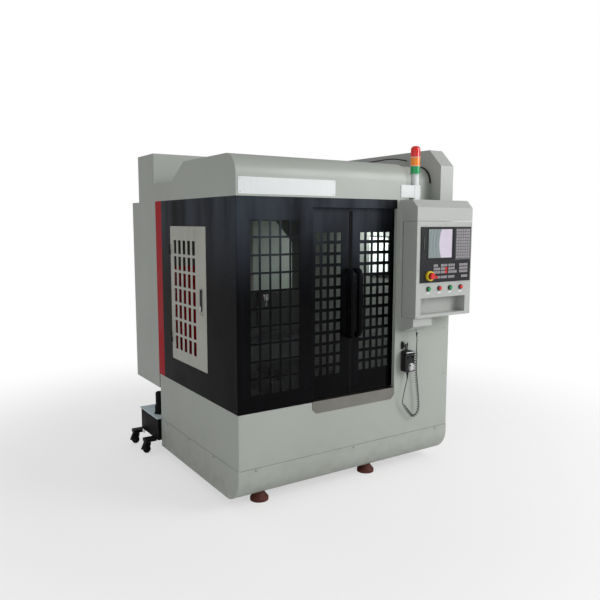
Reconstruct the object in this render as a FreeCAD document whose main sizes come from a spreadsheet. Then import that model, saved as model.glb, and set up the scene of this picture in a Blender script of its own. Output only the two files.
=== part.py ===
"""Machining center: a small vertical milling machine in a sheet-metal enclosure.

Millimetres.  The layout frame has X from the left wall to the right, Y from the
front wall backwards and Z up from the floor.  Each piece's Placement moves that
frame so that the origin is the bottom centre of the whole machine.
"""
import FreeCAD, Part
import math
import os
import re
import Sketcher

os.makedirs("parts", exist_ok=True)
Vector = FreeCAD.Vector
doc = FreeCAD.newDocument("MachiningCenter")
sheet = doc.addObject("Spreadsheet::Sheet", "Dims")

# ---------------------------------------------------------------- driving sizes
CELLS = {
    # casing
    "casing_width": 1600, "casing_depth": 1172, "foot_height": 60,
    "skirt_height": 200, "base_height": 320, "panel_height": 1190,
    "enclosure_width": 1187, "casing_wall": 20, "panel_depth": 25,
    "sheet_metal": 4, "flange_width": 88, "flange_depth": 8,
    "skirt_round": 150, "corner_round": 6, "panel_gap": 2.5, "pivot_gap": 0.05,
    # levelling feet
    "foot_left": 213, "foot_pitch_x": 804, "foot_front": 150, "foot_back": 162,
    "foot_radius": 55, "foot_edge": 17, "foot_shoulder": 38, "shoulder_height": 37,
    "foot_neck": 26, "neck_height": 57, "stem_radius": 12, "stem_hole": 30,
    # hood, top cover and rear boxes
    "hood_rise": 227, "hood_round": 110, "hood_flat_end": 686,
    "hood_slope_end": 884, "hood_low_rise": 118, "hood_lap": 23,
    "hood_setback": 93, "cover_width": 113, "cover_rise": 333, "cover_chamfer": 108,
    "top_box_depth": 313, "top_box_rise": 320, "stripe_in": 92,
    "stripe_depth": 106, "cabinet_depth": 465, "cabinet_drop": 102,
    "cabinet_door_left": 500, "cabinet_door_width": 600, "cabinet_door_edge": 82,
    "door_lap": 22, "board_depth": 6,
    # front windows and sliding doors
    "opening_left": 490, "pillar_left": 1121, "header_height": 54,
    "window_columns": 5, "window_rows": 10, "window_first_x": 83.5,
    "window_first_z": 97, "window_pitch_x": 65.1, "window_pitch_z": 97.8,
    "window_wide": 53, "window_tall": 86, "lattice_depth": 3, "pane_depth": 4,
    "pane_rim": 16, "pane_play": 1,
    "leaf_front": 40, "leaf_depth": 25, "leaf_lap": 15, "meeting_gap": 2, "meeting_in": 15.5,
    "leaf_columns": 5, "leaf_rows": 13, "leaf_stile": 71, "leaf_first_z": 133.5,
    "leaf_pitch_x": 50.4, "leaf_pitch_z": 66.9, "leaf_pane_wide": 33,
    "leaf_pane_tall": 47, "leaf_foot_gap": 8, "leaf_head_gap": 6,
    "track_low": 38, "track_height": 28, "track_front": 30, "track_depth": 56,
    "track_right": 1412, "handle_low": 359, "handle_height": 420,
    "handle_reach": 80, "handle_bar": 30, "handle_round": 46, "handle_soften": 10,
    "handle_offset": 30,
    # sill
    "sill_drop": 70, "sill_height": 3, "sill_chamfer": 27, "sill_depth": 85,
    # side door
    "side_door_front": 386, "side_door_width": 539, "side_door_low": 160,
    "side_door_height": 865, "slot_columns": 5, "slot_rows": 7, "slot_first_y": 152,
    "slot_first_z": 72.5, "slot_pitch_y": 72.5, "slot_pitch_z": 103,
    "slot_wide": 46, "slot_tall": 87, "side_door_skin": 3, "side_door_fold": 4,
    "hinge_radius": 6,
    "hinge_pin": 2.5, "hinge_height": 60, "hinge_low": 108, "hinge_pitch": 576,
    "hinge_plate": 16, "hinge_sheet": 3, "latch_sheet": 3, "latch_from_edge": 63, "latch_low": 340,
    "latch_height": 160, "latch_wide": 30, "lever_wide": 16, "lever_low": 24,
    "lever_depth": 7, "lever_gap": 1.5,
    # right pillar and console
    "ledge_depth": 6, "console_left": 1148, "console_width": 478,
    "console_front": 152, "cap_height": 130, "cap_chamfer": 48,
    "console_height": 600, "console_depth": 121, "swing_gap": 2,
    "spine_depth": 22, "neck_width": 159, "neck_front": 134, "neck_lip": 52,
    "neck_slope": 41, "neck_foot": 43, "pivot_in": 30, "pivot_radius": 15,
    "pivot_height": 18, "display_left": 30, "display_width": 434,
    "display_low": 221, "display_height": 343, "display_depth": 6,
    "screen_left": 92, "screen_width": 206, "screen_low": 370,
    "screen_height": 182, "screen_sunk": 3, "keypad_left": 330, "keypad_low": 366,
    "key_size": 14, "key_height": 13, "key_pitch_x": 20.8, "key_pitch_z": 18.6,
    "key_columns": 6, "key_rows": 10, "key_proud": 2, "panel_keys_left": 126,
    "panel_keys_low": 244, "panel_key_pitch_x": 27, "panel_key_pitch_z": 27,
    "panel_key_wide": 20, "panel_key_tall": 17, "panel_key_columns": 12,
    "panel_key_rows": 4, "stop_left": 102, "stop_low": 263, "stop_ring": 30,
    "stop_ring_depth": 16, "stop_head": 20, "stop_head_depth": 16, "stop_edge": 4,
    "stop_stem": 7, "stop_travel": 6, "head_air": 1,
    "button_left": 102, "button_low": 182, "button_pitch": 94, "button_radius": 11,
    "bezel_radius": 15, "bezel_depth": 8, "button_depth": 16, "button_proud": 2, "button_travel": 4,
    "recess_left": 42, "recess_width": 388, "recess_low": 21, "recess_height": 104,
    "recess_depth": 70,
    # cooling slots of the right wall
    "vent_front": 586, "vent_low": 120, "vent_wide": 240, "vent_tall": 10,
    "vent_pitch": 32, "vent_rows": 8,
    # signal tower
    "tower_x": 1280, "tower_y": 20, "tower_foot": 50, "tower_foot_height": 92,
    "tower_body": 25, "tower_body_height": 70, "lens_radius": 32,
    "green_height": 50, "amber_height": 55, "red_height": 70, "lens_rim": 2,
    "bracket_reach": 109, "bracket_low": 15, "bracket_depth": 4,
    # hand pendant and its cord
    "pendant_x": 1207, "pendant_low": 682, "pendant_width": 75,
    "pendant_height": 135, "pendant_depth": 45, "pendant_off": 7,
    "pendant_round": 12, "hook_height": 40, "hook_width": 18, "hook_rod": 5, "hook_stud": 4, "hook_play": 2,
    "wheel_radius": 24, "wheel_depth": 14, "wheel_in_x": 9, "wheel_in_z": 32,
    "wheel_rim": 6, "wheel_hub": 19, "crank_in": 12, "crank_reach": 8, "knob_flat": 3.6,
    "knob_foot": 8,
    "knob_radius": 8, "knob_depth": 13, "knob_in_x": 19, "knob_in_z": 98,
    "knob_shaft": 3, "shaft_depth": 8, "lead_radius": 2.5,
    "curl_count": 36, "curl_radius": 7, "curl_growth": 2,
    "gland_radius": 8, "gland_depth": 20,
    "gland_x": 1250, "gland_y": -62, "cable_y": 322, "cable_rise": 282, "cable_radius": 4,
    "landing_in": 46, "landing_back": 23,
    # bed, column and slides
    "axis_x": 610, "axis_in": 427, "bed_left": 150, "bed_width": 930,
    "bed_front": 125, "bed_in": 57, "bed_low": 85, "bed_step": 300,
    "pedestal_half": 180, "pedestal_ahead": 345, "bed_top": 620,
    "rail_offset": 115, "rail_wide": 30, "rail_tall": 26, "rail_gap": 1,
    "rail_ahead": 305, "rail_length": 560, "saddle_half_x": 210,
    "saddle_half_y": 130, "slide_gap": 4, "saddle_height": 91,
    "cross_rail_offset": 75, "table_half_x": 300, "table_half_y": 140,
    "table_height": 131, "tee_pitch": 90, "tee_neck": 14, "tee_wide": 25,
    "tee_neck_depth": 13, "tee_depth": 25, "column_in": 162,
    "column_out": 8, "pedestal_in": 25, "column_top": 1720, "column_rail_low": 880,
    "column_rail_length": 820, "column_recess": 30, "head_low": 1190,
    "head_height": 420, "head_half": 110, "head_plate": 56, "head_plate_half": 145, "head_bevel": 90,
    "housing_radius": 80, "housing_drop": 40, "housing_height": 350,
    "spindle_radius": 35, "nose_radius": 30, "nose_drop": 20, "collet_radius": 21,
    "collet_edge": 5, "collet_drop": 35, "tool_radius": 5, "tool_drop": 35, "head_cover_half": 150,
    "head_cover_ahead": 93, "head_cover_low": 1172, "head_cover_height": 468,
    "head_cover_bevel_x": 130, "head_cover_bevel_z": 142, "cover_hole_gap": 5,
    "pan_low": 530, "pan_in": 5, "pan_gap": 5,
    # coolant tank and its casters
    "tank_left": -20, "tank_width": 720, "tank_gap": 18, "tank_depth": 340,
    "tank_low": 95, "tank_height": 163, "tank_lid": 6, "lid_lip": 8,
    "pump_x": 36, "pump_in": 110, "pump_base": 32, "pump_base_height": 60,
    "pump_radius": 26, "pump_height": 160, "pump_flange": 6, "pump_crown": 8, "caster_x": -72,
    "caster_in": 60, "caster_pitch": 240, "caster_wheel": 27, "caster_tread": 20, "fork_sheet": 4,
    "fork_gap": 1.5, "crown_air": 8, "crown_front": 18, "crown_back": 14,
    "cheek_foot": 10, "cheek_drop": 8, "pedal_reach": 40, "pedal_top": 36, "pedal_rise": 14,
    "pedal_tip": 4, "pedal_under": 33, "axle_radius": 4, "trail": 12,
    "fixed_half": 22, "stem_depth": 17,
    "swivel_radius": 8, "arm_low": 84, "arm_height": 22, "arm_half": 30,
    "fixed_caster_x": 650,
}
sheet.set("A1", "dimension")
sheet.set("B1", "value")
for row, (alias, value) in enumerate(CELLS.items(), start=2):
    sheet.set("A%d" % row, alias)
    sheet.set("B%d" % row, str(value))
    sheet.setAlias("B%d" % row, alias)
doc.recompute()

# Heights and places that follow from the driving sizes.
DERIVED = {
    "skirt_top": "foot_height + skirt_height",
    "base_top": "skirt_top + base_height",
    "panel_top": "base_top + panel_height",
    "hood_top": "panel_top + hood_rise",
    "header_low": "panel_top - header_height",
    "ledge_back": "hood_setback + 3 * sheet_metal",
    "foot_pitch_y": "casing_depth - foot_front - foot_back",
    "hood_depth": "casing_depth + hood_lap",
    "cover_left": "casing_width - cover_width",
    "stripe_front": "casing_depth - stripe_in",
    "stripe_back": "stripe_front + stripe_depth",
    "cabinet_low": "base_top - cabinet_drop",
    "cabinet_back": "stripe_back + cabinet_depth",
    "door_back": "cabinet_back + casing_wall",
    "console_right": "console_left + console_width",
    "console_low": "panel_top - cap_height - console_height",
    "console_high": "panel_top - cap_height",
    "console_back": "console_depth - console_front",
    "meeting_x": "(opening_left + pillar_left) / 2 - meeting_in",
    "leaf_wide": "pillar_left + leaf_lap - meeting_x - meeting_gap / 2",
    "left_leaf": "meeting_x - meeting_gap / 2 - leaf_wide",
    "right_leaf": "meeting_x + meeting_gap / 2",
    "grid_wide": "leaf_pitch_x * (leaf_columns - 1) + leaf_pane_wide",
    "left_grid": "left_leaf + leaf_wide - leaf_stile - grid_wide",
    "right_grid": "right_leaf + leaf_stile",
    "leaf_low": "base_top + leaf_foot_gap",
    "leaf_top": "panel_top - track_low - leaf_head_gap",
    "side_door_back": "side_door_front + side_door_width",
    "side_door_z": "base_top + side_door_low",
    "hinge_y": "side_door_back + panel_gap",
    "hinge_x": "0 - hinge_radius - panel_gap / 5",
    "pivot_x": "console_left + pivot_in",
    "pivot_y": "(console_back - console_front) / 2",
    "axis_y": "casing_depth - axis_in",
    "bed_depth": "casing_depth - bed_front - bed_in",
    "pedestal_front": "axis_y - pedestal_ahead",
    "pedestal_back": "casing_depth - pedestal_in",
    "rail_front": "axis_y - rail_ahead",
    "column_front": "casing_depth - column_in",
    "column_back": "casing_depth + column_out",
    "head_cover_front": "axis_y - head_cover_ahead",
    "table_low": "bed_top + slide_gap + saddle_height + slide_gap",
    "table_top": "table_low + table_height",
    "tank_top": "tank_low + tank_height",
    "tank_front": "casing_depth + tank_gap",
    "pump_y": "tank_front + pump_in",
    "caster_y": "tank_front + caster_in",
    "pendant_back": "0 - pendant_off",
    "pendant_face": "0 - pendant_off - pendant_depth",
    "cabinet_hinge_x": "cabinet_door_left + cabinet_door_width + hinge_radius + panel_gap",
    "cabinet_hinge_y": "cabinet_back + casing_wall / 2",
    "caster_axle_z": "caster_wheel",
    "gland_low": "console_low - neck_lip - neck_slope - gland_depth / 2",
    "stop_head_front": "0 - console_front - display_depth - stop_ring_depth - stop_travel"
                       " - stop_head_depth",
    "left_most": "caster_x - trail - pedal_reach",
    "origin_x": "(console_right + left_most) / 2",
    "origin_y": "(door_back + stop_head_front) / 2",
}


def cells(text):
    """Turn the plain names in a formula into references to the sheet's cells."""
    def swap(match):
        name = match.group(0)
        if name in DERIVED:
            return "(" + cells(DERIVED[name]) + ")"
        return "Dims." + name if name in CELLS else name
    return re.sub(r"[a-z_][a-z_0-9]*", swap, str(text))


def size(text):
    """The present value of a formula, in millimetres."""
    value = sheet.evalExpression(cells(text))
    return float(getattr(value, "Value", value))


# ---------------------------------------------------------------- drawing helpers
PLANES = {"top": "XY_Plane", "front": "XZ_Plane", "side": "YZ_Plane"}
pieces = []


def new_piece(name):
    """An empty body whose label names its file, set in the machine's frame."""
    body = doc.addObject("PartDesign::Body", name)
    body.Label = name
    body.AllowCompound = True
    body.setExpression("Placement.Base.x", cells("0 - origin_x"))
    body.setExpression("Placement.Base.y", cells("0 - origin_y"))
    pieces.append(body)
    return body


def new_sketch(body, plane, level="0", across="0", along="0"):
    """A sketch parallel to one of the body's planes; level is along +X, +Y or +Z."""
    sketch = body.newObject("Sketcher::SketchObject", body.Name + "_sketch")
    roles = {feature.Role: feature for feature in body.Origin.OriginFeatures}
    sketch.AttachmentSupport = (roles[PLANES[plane]], [""])
    sketch.MapMode = "FlatFace"
    sketch.setExpression("AttachmentOffset.Base.x", cells(across))
    sketch.setExpression("AttachmentOffset.Base.y", cells(along))
    depth = "0 - (%s)" % level if plane == "front" else level
    sketch.setExpression("AttachmentOffset.Base.z", cells(depth))
    sketch.Label = body.Name + "_" + plane
    return sketch


def fix_point(sketch, shape, end, u, v):
    """Hold a point of the sketch at the formulas u and v."""
    across = sketch.addConstraint(Sketcher.Constraint("DistanceX", -1, 1, shape, end, size(u)))
    sketch.setExpression("Constraints[%d]" % across, cells(u))
    along = sketch.addConstraint(Sketcher.Constraint("DistanceY", -1, 1, shape, end, size(v)))
    sketch.setExpression("Constraints[%d]" % along, cells(v))


def corner_arc(before, at, after, radius):
    """The arc that rounds a corner, and whether it turns to the left."""
    back = (before - at).normalize()
    ahead = (after - at).normalize()
    half = back.getAngle(ahead) / 2
    centre = at + (back + ahead).normalize() * (radius / math.sin(half))
    first = at + back * (radius / math.tan(half))
    last = at + ahead * (radius / math.tan(half))
    turns_left = back.cross(ahead).z < 0
    start, end = (first, last) if turns_left else (last, first)
    angles = [math.atan2(p.y - centre.y, p.x - centre.x) for p in (start, end)]
    circle = Part.Circle(centre, Vector(0, 0, 1), radius)
    return Part.ArcOfCircle(circle, angles[0], angles[1]), first, last, turns_left


def outline(sketch, corners):
    """A closed outline; a corner is (u, v) or (u, v, radius), each a formula."""
    spots = [Vector(size(c[0]), size(c[1]), 0) for c in corners]
    count = len(corners)
    starts, ends, arcs = list(spots), list(spots), {}
    for i, corner in enumerate(corners):
        if len(corner) == 3:
            arc = corner_arc(spots[i - 1], spots[i], spots[(i + 1) % count], size(corner[2]))
            arcs[i] = arc
            ends[i], starts[i] = arc[1], arc[2]
    first = sketch.GeometryCount
    for i in range(count):
        sketch.addGeometry(Part.LineSegment(starts[i], ends[(i + 1) % count]), False)
    for i, corner in enumerate(corners):
        into, out = first + (i - 1) % count, first + i
        if i not in arcs:
            sketch.addConstraint(Sketcher.Constraint("Coincident", into, 2, out, 1))
            fix_point(sketch, out, 1, corner[0], corner[1])
            continue
        arc, _, _, turns_left = arcs[i]
        bend = sketch.addGeometry(arc, False)
        near, far = (1, 2) if turns_left else (2, 1)
        sketch.addConstraint(Sketcher.Constraint("Tangent", into, 2, bend, near))
        sketch.addConstraint(Sketcher.Constraint("Tangent", bend, far, out, 1))
        rule = sketch.addConstraint(Sketcher.Constraint("Radius", bend, size(corner[2])))
        sketch.setExpression("Constraints[%d]" % rule, cells(corner[2]))
        point = sketch.addGeometry(Part.Point(spots[i]), True)
        sketch.addConstraint(Sketcher.Constraint("PointOnObject", point, 1, into))
        sketch.addConstraint(Sketcher.Constraint("PointOnObject", point, 1, out))
        fix_point(sketch, point, 1, corner[0], corner[1])
    return sketch


def box_outline(sketch, left, low, right, high):
    """A rectangle between two corners."""
    return outline(sketch, [(left, low), (right, low), (right, high), (left, high)])


def circle(sketch, u, v, radius):
    """A circle about (u, v)."""
    round_edge = Part.Circle(Vector(size(u), size(v), 0), Vector(0, 0, 1), size(radius))
    shape = sketch.addGeometry(round_edge, False)
    fix_point(sketch, shape, 3, u, v)
    rule = sketch.addConstraint(Sketcher.Constraint("Radius", shape, size(radius)))
    sketch.setExpression("Constraints[%d]" % rule, cells(radius))
    return sketch


def is_front(sketch):
    """Whether the sketch lies on the front plane, whose normal points at -Y."""
    return sketch.AttachmentSupport[0][0].Role == "XZ_Plane"


def pad(body, sketch, length):
    """Add material from the sketch towards +X, +Y or +Z."""
    feature = body.newObject("PartDesign::Pad", body.Name + "_pad")
    feature.Profile = sketch
    feature.setExpression("Length", cells(length))
    feature.Reversed = is_front(sketch)
    body.Tip = feature
    return feature


def cut(body, sketch, length):
    """Take material away from the sketch towards +X, +Y or +Z."""
    feature = body.newObject("PartDesign::Pocket", body.Name + "_cut")
    feature.Profile = sketch
    feature.setExpression("Length", cells(length))
    feature.Reversed = not is_front(sketch)
    body.Tip = feature
    return feature


def turn(body, sketch, axis="V_Axis"):
    """Turn the sketch all the way round one of its own axes."""
    feature = body.newObject("PartDesign::Revolution", body.Name + "_turn")
    feature.Profile = sketch
    feature.ReferenceAxis = (sketch, [axis])
    feature.Angle = 360
    body.Tip = feature
    return feature


def repeat(body, features, **runs):
    """Repeat features along one or two axes, x, y or z; a run is (pitch, count)."""
    feature = body.newObject("PartDesign::MultiTransform", body.Name + "_pattern")
    feature.Originals = features
    roles = {datum.Role: datum for datum in body.Origin.OriginFeatures}
    steps = []
    for axis, (pitch, count) in runs.items():
        step = doc.addObject("PartDesign::LinearPattern", body.Name + "_along_" + axis)
        step.Direction = (roles[axis.upper() + "_Axis"], [""])
        step.Mode = "Spacing"
        step.setExpression("Offset", cells(pitch))
        step.setExpression("Occurrences", cells(count))
        steps.append(step)
    feature.Transformations = steps
    body.Tip = feature
    return feature


def edges_along(feature, run, spots):
    """Names of the straight edges along X, Y or Z that pass through the spots."""
    others = [axis for axis in "xyz" if axis != run]
    wanted = [(size(u), size(v)) for u, v in spots]
    names = []
    for number, edge in enumerate(feature.Shape.Edges, start=1):
        ends = [vertex.Point for vertex in edge.Vertexes]
        if len(ends) != 2:
            continue
        here = [(getattr(p, others[0]), getattr(p, others[1])) for p in ends]
        for u, v in wanted:
            if all(abs(a - u) < 0.01 and abs(b - v) < 0.01 for a, b in here):
                names.append("Edge%d" % number)
    return names


def round_off(body, radius, run, spots):
    """Fillet the edges along one axis that pass through the spots."""
    doc.recompute()
    base = body.Tip
    feature = body.newObject("PartDesign::Fillet", body.Name + "_round")
    feature.Base = (base, edges_along(base, run, spots))
    feature.setExpression("Radius", cells(radius))
    body.Tip = feature
    return feature


def bevel(body, width, run, spots):
    """Chamfer the edges along one axis that pass through the spots."""
    doc.recompute()
    base = body.Tip
    feature = body.newObject("PartDesign::Chamfer", body.Name + "_bevel")
    feature.Base = (base, edges_along(base, run, spots))
    feature.setExpression("Size", cells(width))
    body.Tip = feature
    return feature


def block(body, low, high):
    """Add a block between two corners, each three formulas."""
    sketch = new_sketch(body, "top", low[2])
    box_outline(sketch, low[0], low[1], high[0], high[1])
    return pad(body, sketch, "(%s) - (%s)" % (high[2], low[2]))


def hollow(body, low, high):
    """Cut a block-shaped hollow between two corners, each three formulas."""
    sketch = new_sketch(body, "top", low[2])
    box_outline(sketch, low[0], low[1], high[0], high[1])
    return cut(body, sketch, "(%s) - (%s)" % (high[2], low[2]))


def post(body, x, y, radius, low, height):
    """Add an upright cylinder."""
    return pad(body, circle(new_sketch(body, "top", low), x, y, radius), height)


def stud(body, x, z, radius, front, length):
    """Add a cylinder that runs backwards from its front end."""
    return pad(body, circle(new_sketch(body, "front", front), x, z, radius), length)


def drill(body, x, z, radius, front, length):
    """Drill a round hole backwards from its front end."""
    return cut(body, circle(new_sketch(body, "front", front), x, z, radius), length)


# ---------------------------------------------------------------- base
def levelling_feet():
    """Four turned feet: a wide foot, a neck and a threaded stem."""
    body = new_piece("levelling_feet")
    sketch = new_sketch(body, "front", "foot_front", across="foot_left")
    outline(sketch, [
        ("0", "0"), ("foot_radius", "0"), ("foot_radius", "foot_edge"),
        ("foot_shoulder", "shoulder_height"), ("foot_neck", "neck_height"),
        ("stem_radius", "neck_height"), ("stem_radius", "bed_low"), ("0", "bed_low")])
    foot = turn(body, sketch)
    repeat(body, [foot], x=("foot_pitch_x", "2"), y=("foot_pitch_y", "2"))


def lower_skirt():
    """The bottom tray of the casing, rolled under at the front."""
    body = new_piece("lower_skirt")
    outer = outline(new_sketch(body, "side"), [
        ("0", "skirt_top"), ("0", "foot_height", "skirt_round"),
        ("casing_depth", "foot_height"), ("casing_depth", "skirt_top")])
    pad(body, outer, "casing_width")
    inner = outline(new_sketch(body, "side", "casing_wall"), [
        ("casing_wall", "skirt_top + 1"),
        ("casing_wall", "foot_height + casing_wall", "skirt_round - casing_wall"),
        ("casing_depth - casing_wall", "foot_height + casing_wall"),
        ("casing_depth - casing_wall", "skirt_top + 1")])
    cut(body, inner, "casing_width - 2 * casing_wall")
    holes = new_sketch(body, "top", "foot_height - 1")
    circle(holes, "foot_left", "foot_front", "stem_hole")
    hole = cut(body, holes, "casing_wall + 2")
    repeat(body, [hole], x=("foot_pitch_x", "2"), y=("foot_pitch_y", "2"))


def base_casing():
    """The welded base: four walls with an inward flange round the top."""
    body = new_piece("base_casing")
    block(body, ("0", "0", "skirt_top"), ("casing_width", "casing_depth", "base_top"))
    hollow(body, ("casing_wall", "casing_wall", "skirt_top"),
           ("casing_width - casing_wall", "casing_depth - casing_wall", "base_top - flange_depth"))
    hollow(body, ("flange_width", "flange_width", "base_top - flange_depth - 1"),
           ("casing_width - flange_width", "casing_depth - flange_width", "base_top + 1"))
    hollow(body, ("axis_x - pedestal_half - pan_gap", "casing_depth - flange_width - 1",
                  "base_top - flange_depth - 1"),
           ("axis_x + pedestal_half + pan_gap", "casing_depth - casing_wall", "base_top + 1"))
    round_off(body, "corner_round", "z", [
        ("0", "0"), ("casing_width", "0"), ("0", "casing_depth"), ("casing_width", "casing_depth")])


def chip_pan():
    """The tray that catches chips round the foot of the machine."""
    body = new_piece("chip_pan")
    left = "casing_wall + pan_in"
    right = "enclosure_width + sheet_metal * 3"
    back = "stripe_front - panel_gap"
    top = "base_top - flange_depth"
    block(body, (left, left, "pan_low"), (right, back, top))
    hollow(body, (left + " + sheet_metal", left + " + sheet_metal", "pan_low + sheet_metal"),
           (right + " - sheet_metal", back + " - sheet_metal", top + " + 1"))
    hollow(body, ("axis_x - pedestal_half - pan_gap", "pedestal_front - pan_gap", "pan_low - 1"),
           ("axis_x + pedestal_half + pan_gap", back + " + 1", top + " + 1"))


def sill_plate():
    """The bright plate below the doors: a chamfered apron and a tread."""
    body = new_piece("sill_plate")
    apron = new_sketch(body, "front", "0 - sill_height")
    outline(apron, [
        ("opening_left", "base_top + sill_height"),
        ("opening_left", "base_top - sill_drop + sill_chamfer"),
        ("opening_left + sill_chamfer", "base_top - sill_drop"),
        ("pillar_left - sill_chamfer", "base_top - sill_drop"),
        ("pillar_left", "base_top - sill_drop + sill_chamfer"),
        ("pillar_left", "base_top + sill_height")])
    pad(body, apron, "sill_height")
    block(body, ("opening_left", "0 - sill_height", "base_top"),
          ("pillar_left", "sill_depth", "base_top + sill_height"))


# ---------------------------------------------------------------- enclosure walls
def grid_plate(body, left, front, low, wide, deep, tall, first, pitch, pane, count):
    """A tray facing forwards, its thin front sheet punched with a grid of windows.

    The tray is open behind the grid, where the clear pane lies against the sheet.
    """
    block(body, (left, front, low), ("%s + %s" % (left, wide), "%s + %s" % (front, deep),
                                     "%s + %s" % (low, tall)))
    sketch = new_sketch(body, "front", "%s - 1" % front, across="%s + %s" % (left, first[0]),
                        along="%s + %s" % (low, first[1]))
    box_outline(sketch, "0", "0", pane[0], pane[1])
    window = cut(body, sketch, "%s + 2" % deep)
    repeat(body, [window], x=(pitch[0], count[0]), z=(pitch[1], count[1]))
    starts = ["%s + %s - pane_rim - pane_play" % part for part in zip((left, low), first)]
    ends = ["%s + %s + %s * (%s - 1) + %s + pane_rim + pane_play" % part
            for part in zip((left, low), first, pitch, count, pane)]
    hollow(body, (starts[0], front + " + lattice_depth", starts[1]),
           (ends[0], "%s + %s + 1" % (front, deep), ends[1]))


def fixed_window_panel():
    """The black front panel left of the doors, with its grid of windows."""
    body = new_piece("fixed_window_panel")
    grid_plate(body, "0", "0", "base_top", "opening_left", "panel_depth", "panel_height",
               ("window_first_x", "window_first_z"), ("window_pitch_x", "window_pitch_z"),
               ("window_wide", "window_tall"), ("window_columns", "window_rows"))
    round_off(body, "corner_round", "z", [("0", "0")])


def fixed_window_pane():
    """The clear sheet behind the fixed window."""
    body = new_piece("fixed_window_pane")
    block(body, ("window_first_x - pane_rim", "lattice_depth",
                 "base_top + window_first_z - pane_rim"),
          ("window_first_x + window_pitch_x * (window_columns - 1) + window_wide + pane_rim",
           "lattice_depth + pane_depth",
           "base_top + window_first_z + window_pitch_z * (window_rows - 1) + window_tall + pane_rim"))


def door_header():
    """The band above the doors and the track that the leaves hang from."""
    body = new_piece("door_header")
    block(body, ("opening_left", "0", "header_low"), ("pillar_left", "track_front", "panel_top"))
    block(body, ("panel_depth + panel_gap", "track_front", "panel_top - track_low"),
          ("track_right", "track_front + track_depth", "panel_top - track_low + track_height"))


HINGE_LOWS = ("side_door_z + hinge_low", "side_door_z + hinge_low + hinge_pitch")


def left_side_panel():
    """The black left wall, with the opening for the side door."""
    body = new_piece("left_side_panel")
    block(body, ("0", "panel_depth", "base_top"), ("panel_depth", "stripe_front", "panel_top"))
    hollow(body, ("0 - 1", "side_door_front - panel_gap", "side_door_z - panel_gap"),
           ("panel_depth + 1", "side_door_back + panel_gap",
            "side_door_z + side_door_height + panel_gap"))
    # welded fixed halves of the door's hinges, with their pins
    for low in HINGE_LOWS:
        fixed_knuckle(body, "hinge_x", "hinge_y", low)
        block(body, ("0 - hinge_sheet", "hinge_y + hinge_sheet / 3", low),
              ("0", "hinge_y + hinge_plate", low + " + hinge_height / 2"))


def right_front_panel():
    """The pillar right of the doors, folded back into a ledge at the top."""
    body = new_piece("right_front_panel")
    block(body, ("pillar_left", "0", "base_top"), ("casing_width", "panel_depth", "panel_top"))
    block(body, ("enclosure_width", "panel_depth", "panel_top - ledge_depth"),
          ("casing_width", "ledge_back", "panel_top"))
    round_off(body, "corner_round", "z", [("casing_width", "0")])
    # stud that the pendant hangs from
    stud(body, "pendant_x",
         "pendant_low + pendant_height + hook_height - hook_rod - hook_play - hook_stud",
         "hook_stud", "0 - pendant_off - hook_rod * 2", "pendant_off + hook_rod * 2")


def right_side_panel():
    """The right wall, with its rows of cooling slots."""
    body = new_piece("right_side_panel")
    block(body, ("casing_width - panel_depth", "panel_depth", "base_top"),
          ("casing_width", "stripe_front", "panel_top - ledge_depth"))
    sketch = new_sketch(body, "side", "casing_width - panel_depth - 1",
                        across="vent_front", along="base_top + vent_low")
    box_outline(sketch, "0", "0", "vent_wide", "vent_tall")
    slot = cut(body, sketch, "panel_depth + 2")
    repeat(body, [slot], z=("vent_pitch", "vent_rows"))


def inner_right_wall():
    """The sheet between the work space and the right-hand cabinet."""
    body = new_piece("inner_right_wall")
    block(body, ("enclosure_width", "ledge_back", "pan_low + sheet_metal"),
          ("enclosure_width + sheet_metal * 2", "stripe_front - panel_gap - sheet_metal - 1",
           "panel_top - ledge_depth"))


def rear_partition():
    """The red rear wall, cut out for the column."""
    body = new_piece("rear_partition")
    block(body, ("0", "stripe_front", "base_top"), ("casing_width", "stripe_back", "panel_top"))
    hollow(body, ("axis_x - pedestal_half - pan_gap", "stripe_front - 1", "base_top - 1"),
           ("axis_x + pedestal_half + pan_gap", "stripe_back + 1", "column_top + pan_gap"))


# ---------------------------------------------------------------- hood and top
def hood_outline(sketch, front, inset):
    """The hood's side outline: rounded front, flat top and a step down."""
    top = "hood_top - " + inset
    low = "panel_top + hood_low_rise - " + inset
    base = "panel_top" if inset == "0" else "panel_top - 1"
    return outline(sketch, [
        (front, base), (front, top, "hood_round - " + inset), ("hood_flat_end", top),
        ("hood_slope_end", low), ("hood_depth - " + inset, low), ("hood_depth - " + inset, base)])


def hood():
    """The folded hood over the work space, open underneath."""
    body = new_piece("hood")
    pad(body, hood_outline(new_sketch(body, "side"), "0", "0"), "enclosure_width")
    inner = new_sketch(body, "side", "sheet_metal")
    cut(body, hood_outline(inner, "sheet_metal", "sheet_metal"),
        "enclosure_width - 2 * sheet_metal")


def right_hood():
    """The set-back length of hood beside the top cover, open underneath."""
    body = new_piece("right_hood")
    pad(body, hood_outline(new_sketch(body, "side", "enclosure_width"), "hood_setback", "0"),
        "cover_left - enclosure_width")
    inner = new_sketch(body, "side", "enclosure_width + sheet_metal")
    cut(body, hood_outline(inner, "hood_setback + sheet_metal", "sheet_metal"),
        "cover_left - enclosure_width - 2 * sheet_metal")


def right_top_cover():
    """The tall cover along the right edge, chamfered at the front."""
    body = new_piece("right_top_cover")
    sketch = new_sketch(body, "side", "cover_left")
    outline(sketch, [
        ("0", "panel_top"), ("0", "panel_top + cover_rise - cover_chamfer"),
        ("cover_chamfer", "panel_top + cover_rise"), ("hood_depth", "panel_top + cover_rise"),
        ("hood_depth", "panel_top")])
    pad(body, sketch, "casing_width - cover_left")
    gland = new_sketch(body, "side", "cover_left - gland_depth / 2")
    circle(gland, "cable_y", "panel_top + cable_rise", "gland_radius")
    pad(body, gland, "gland_depth / 2")


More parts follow.
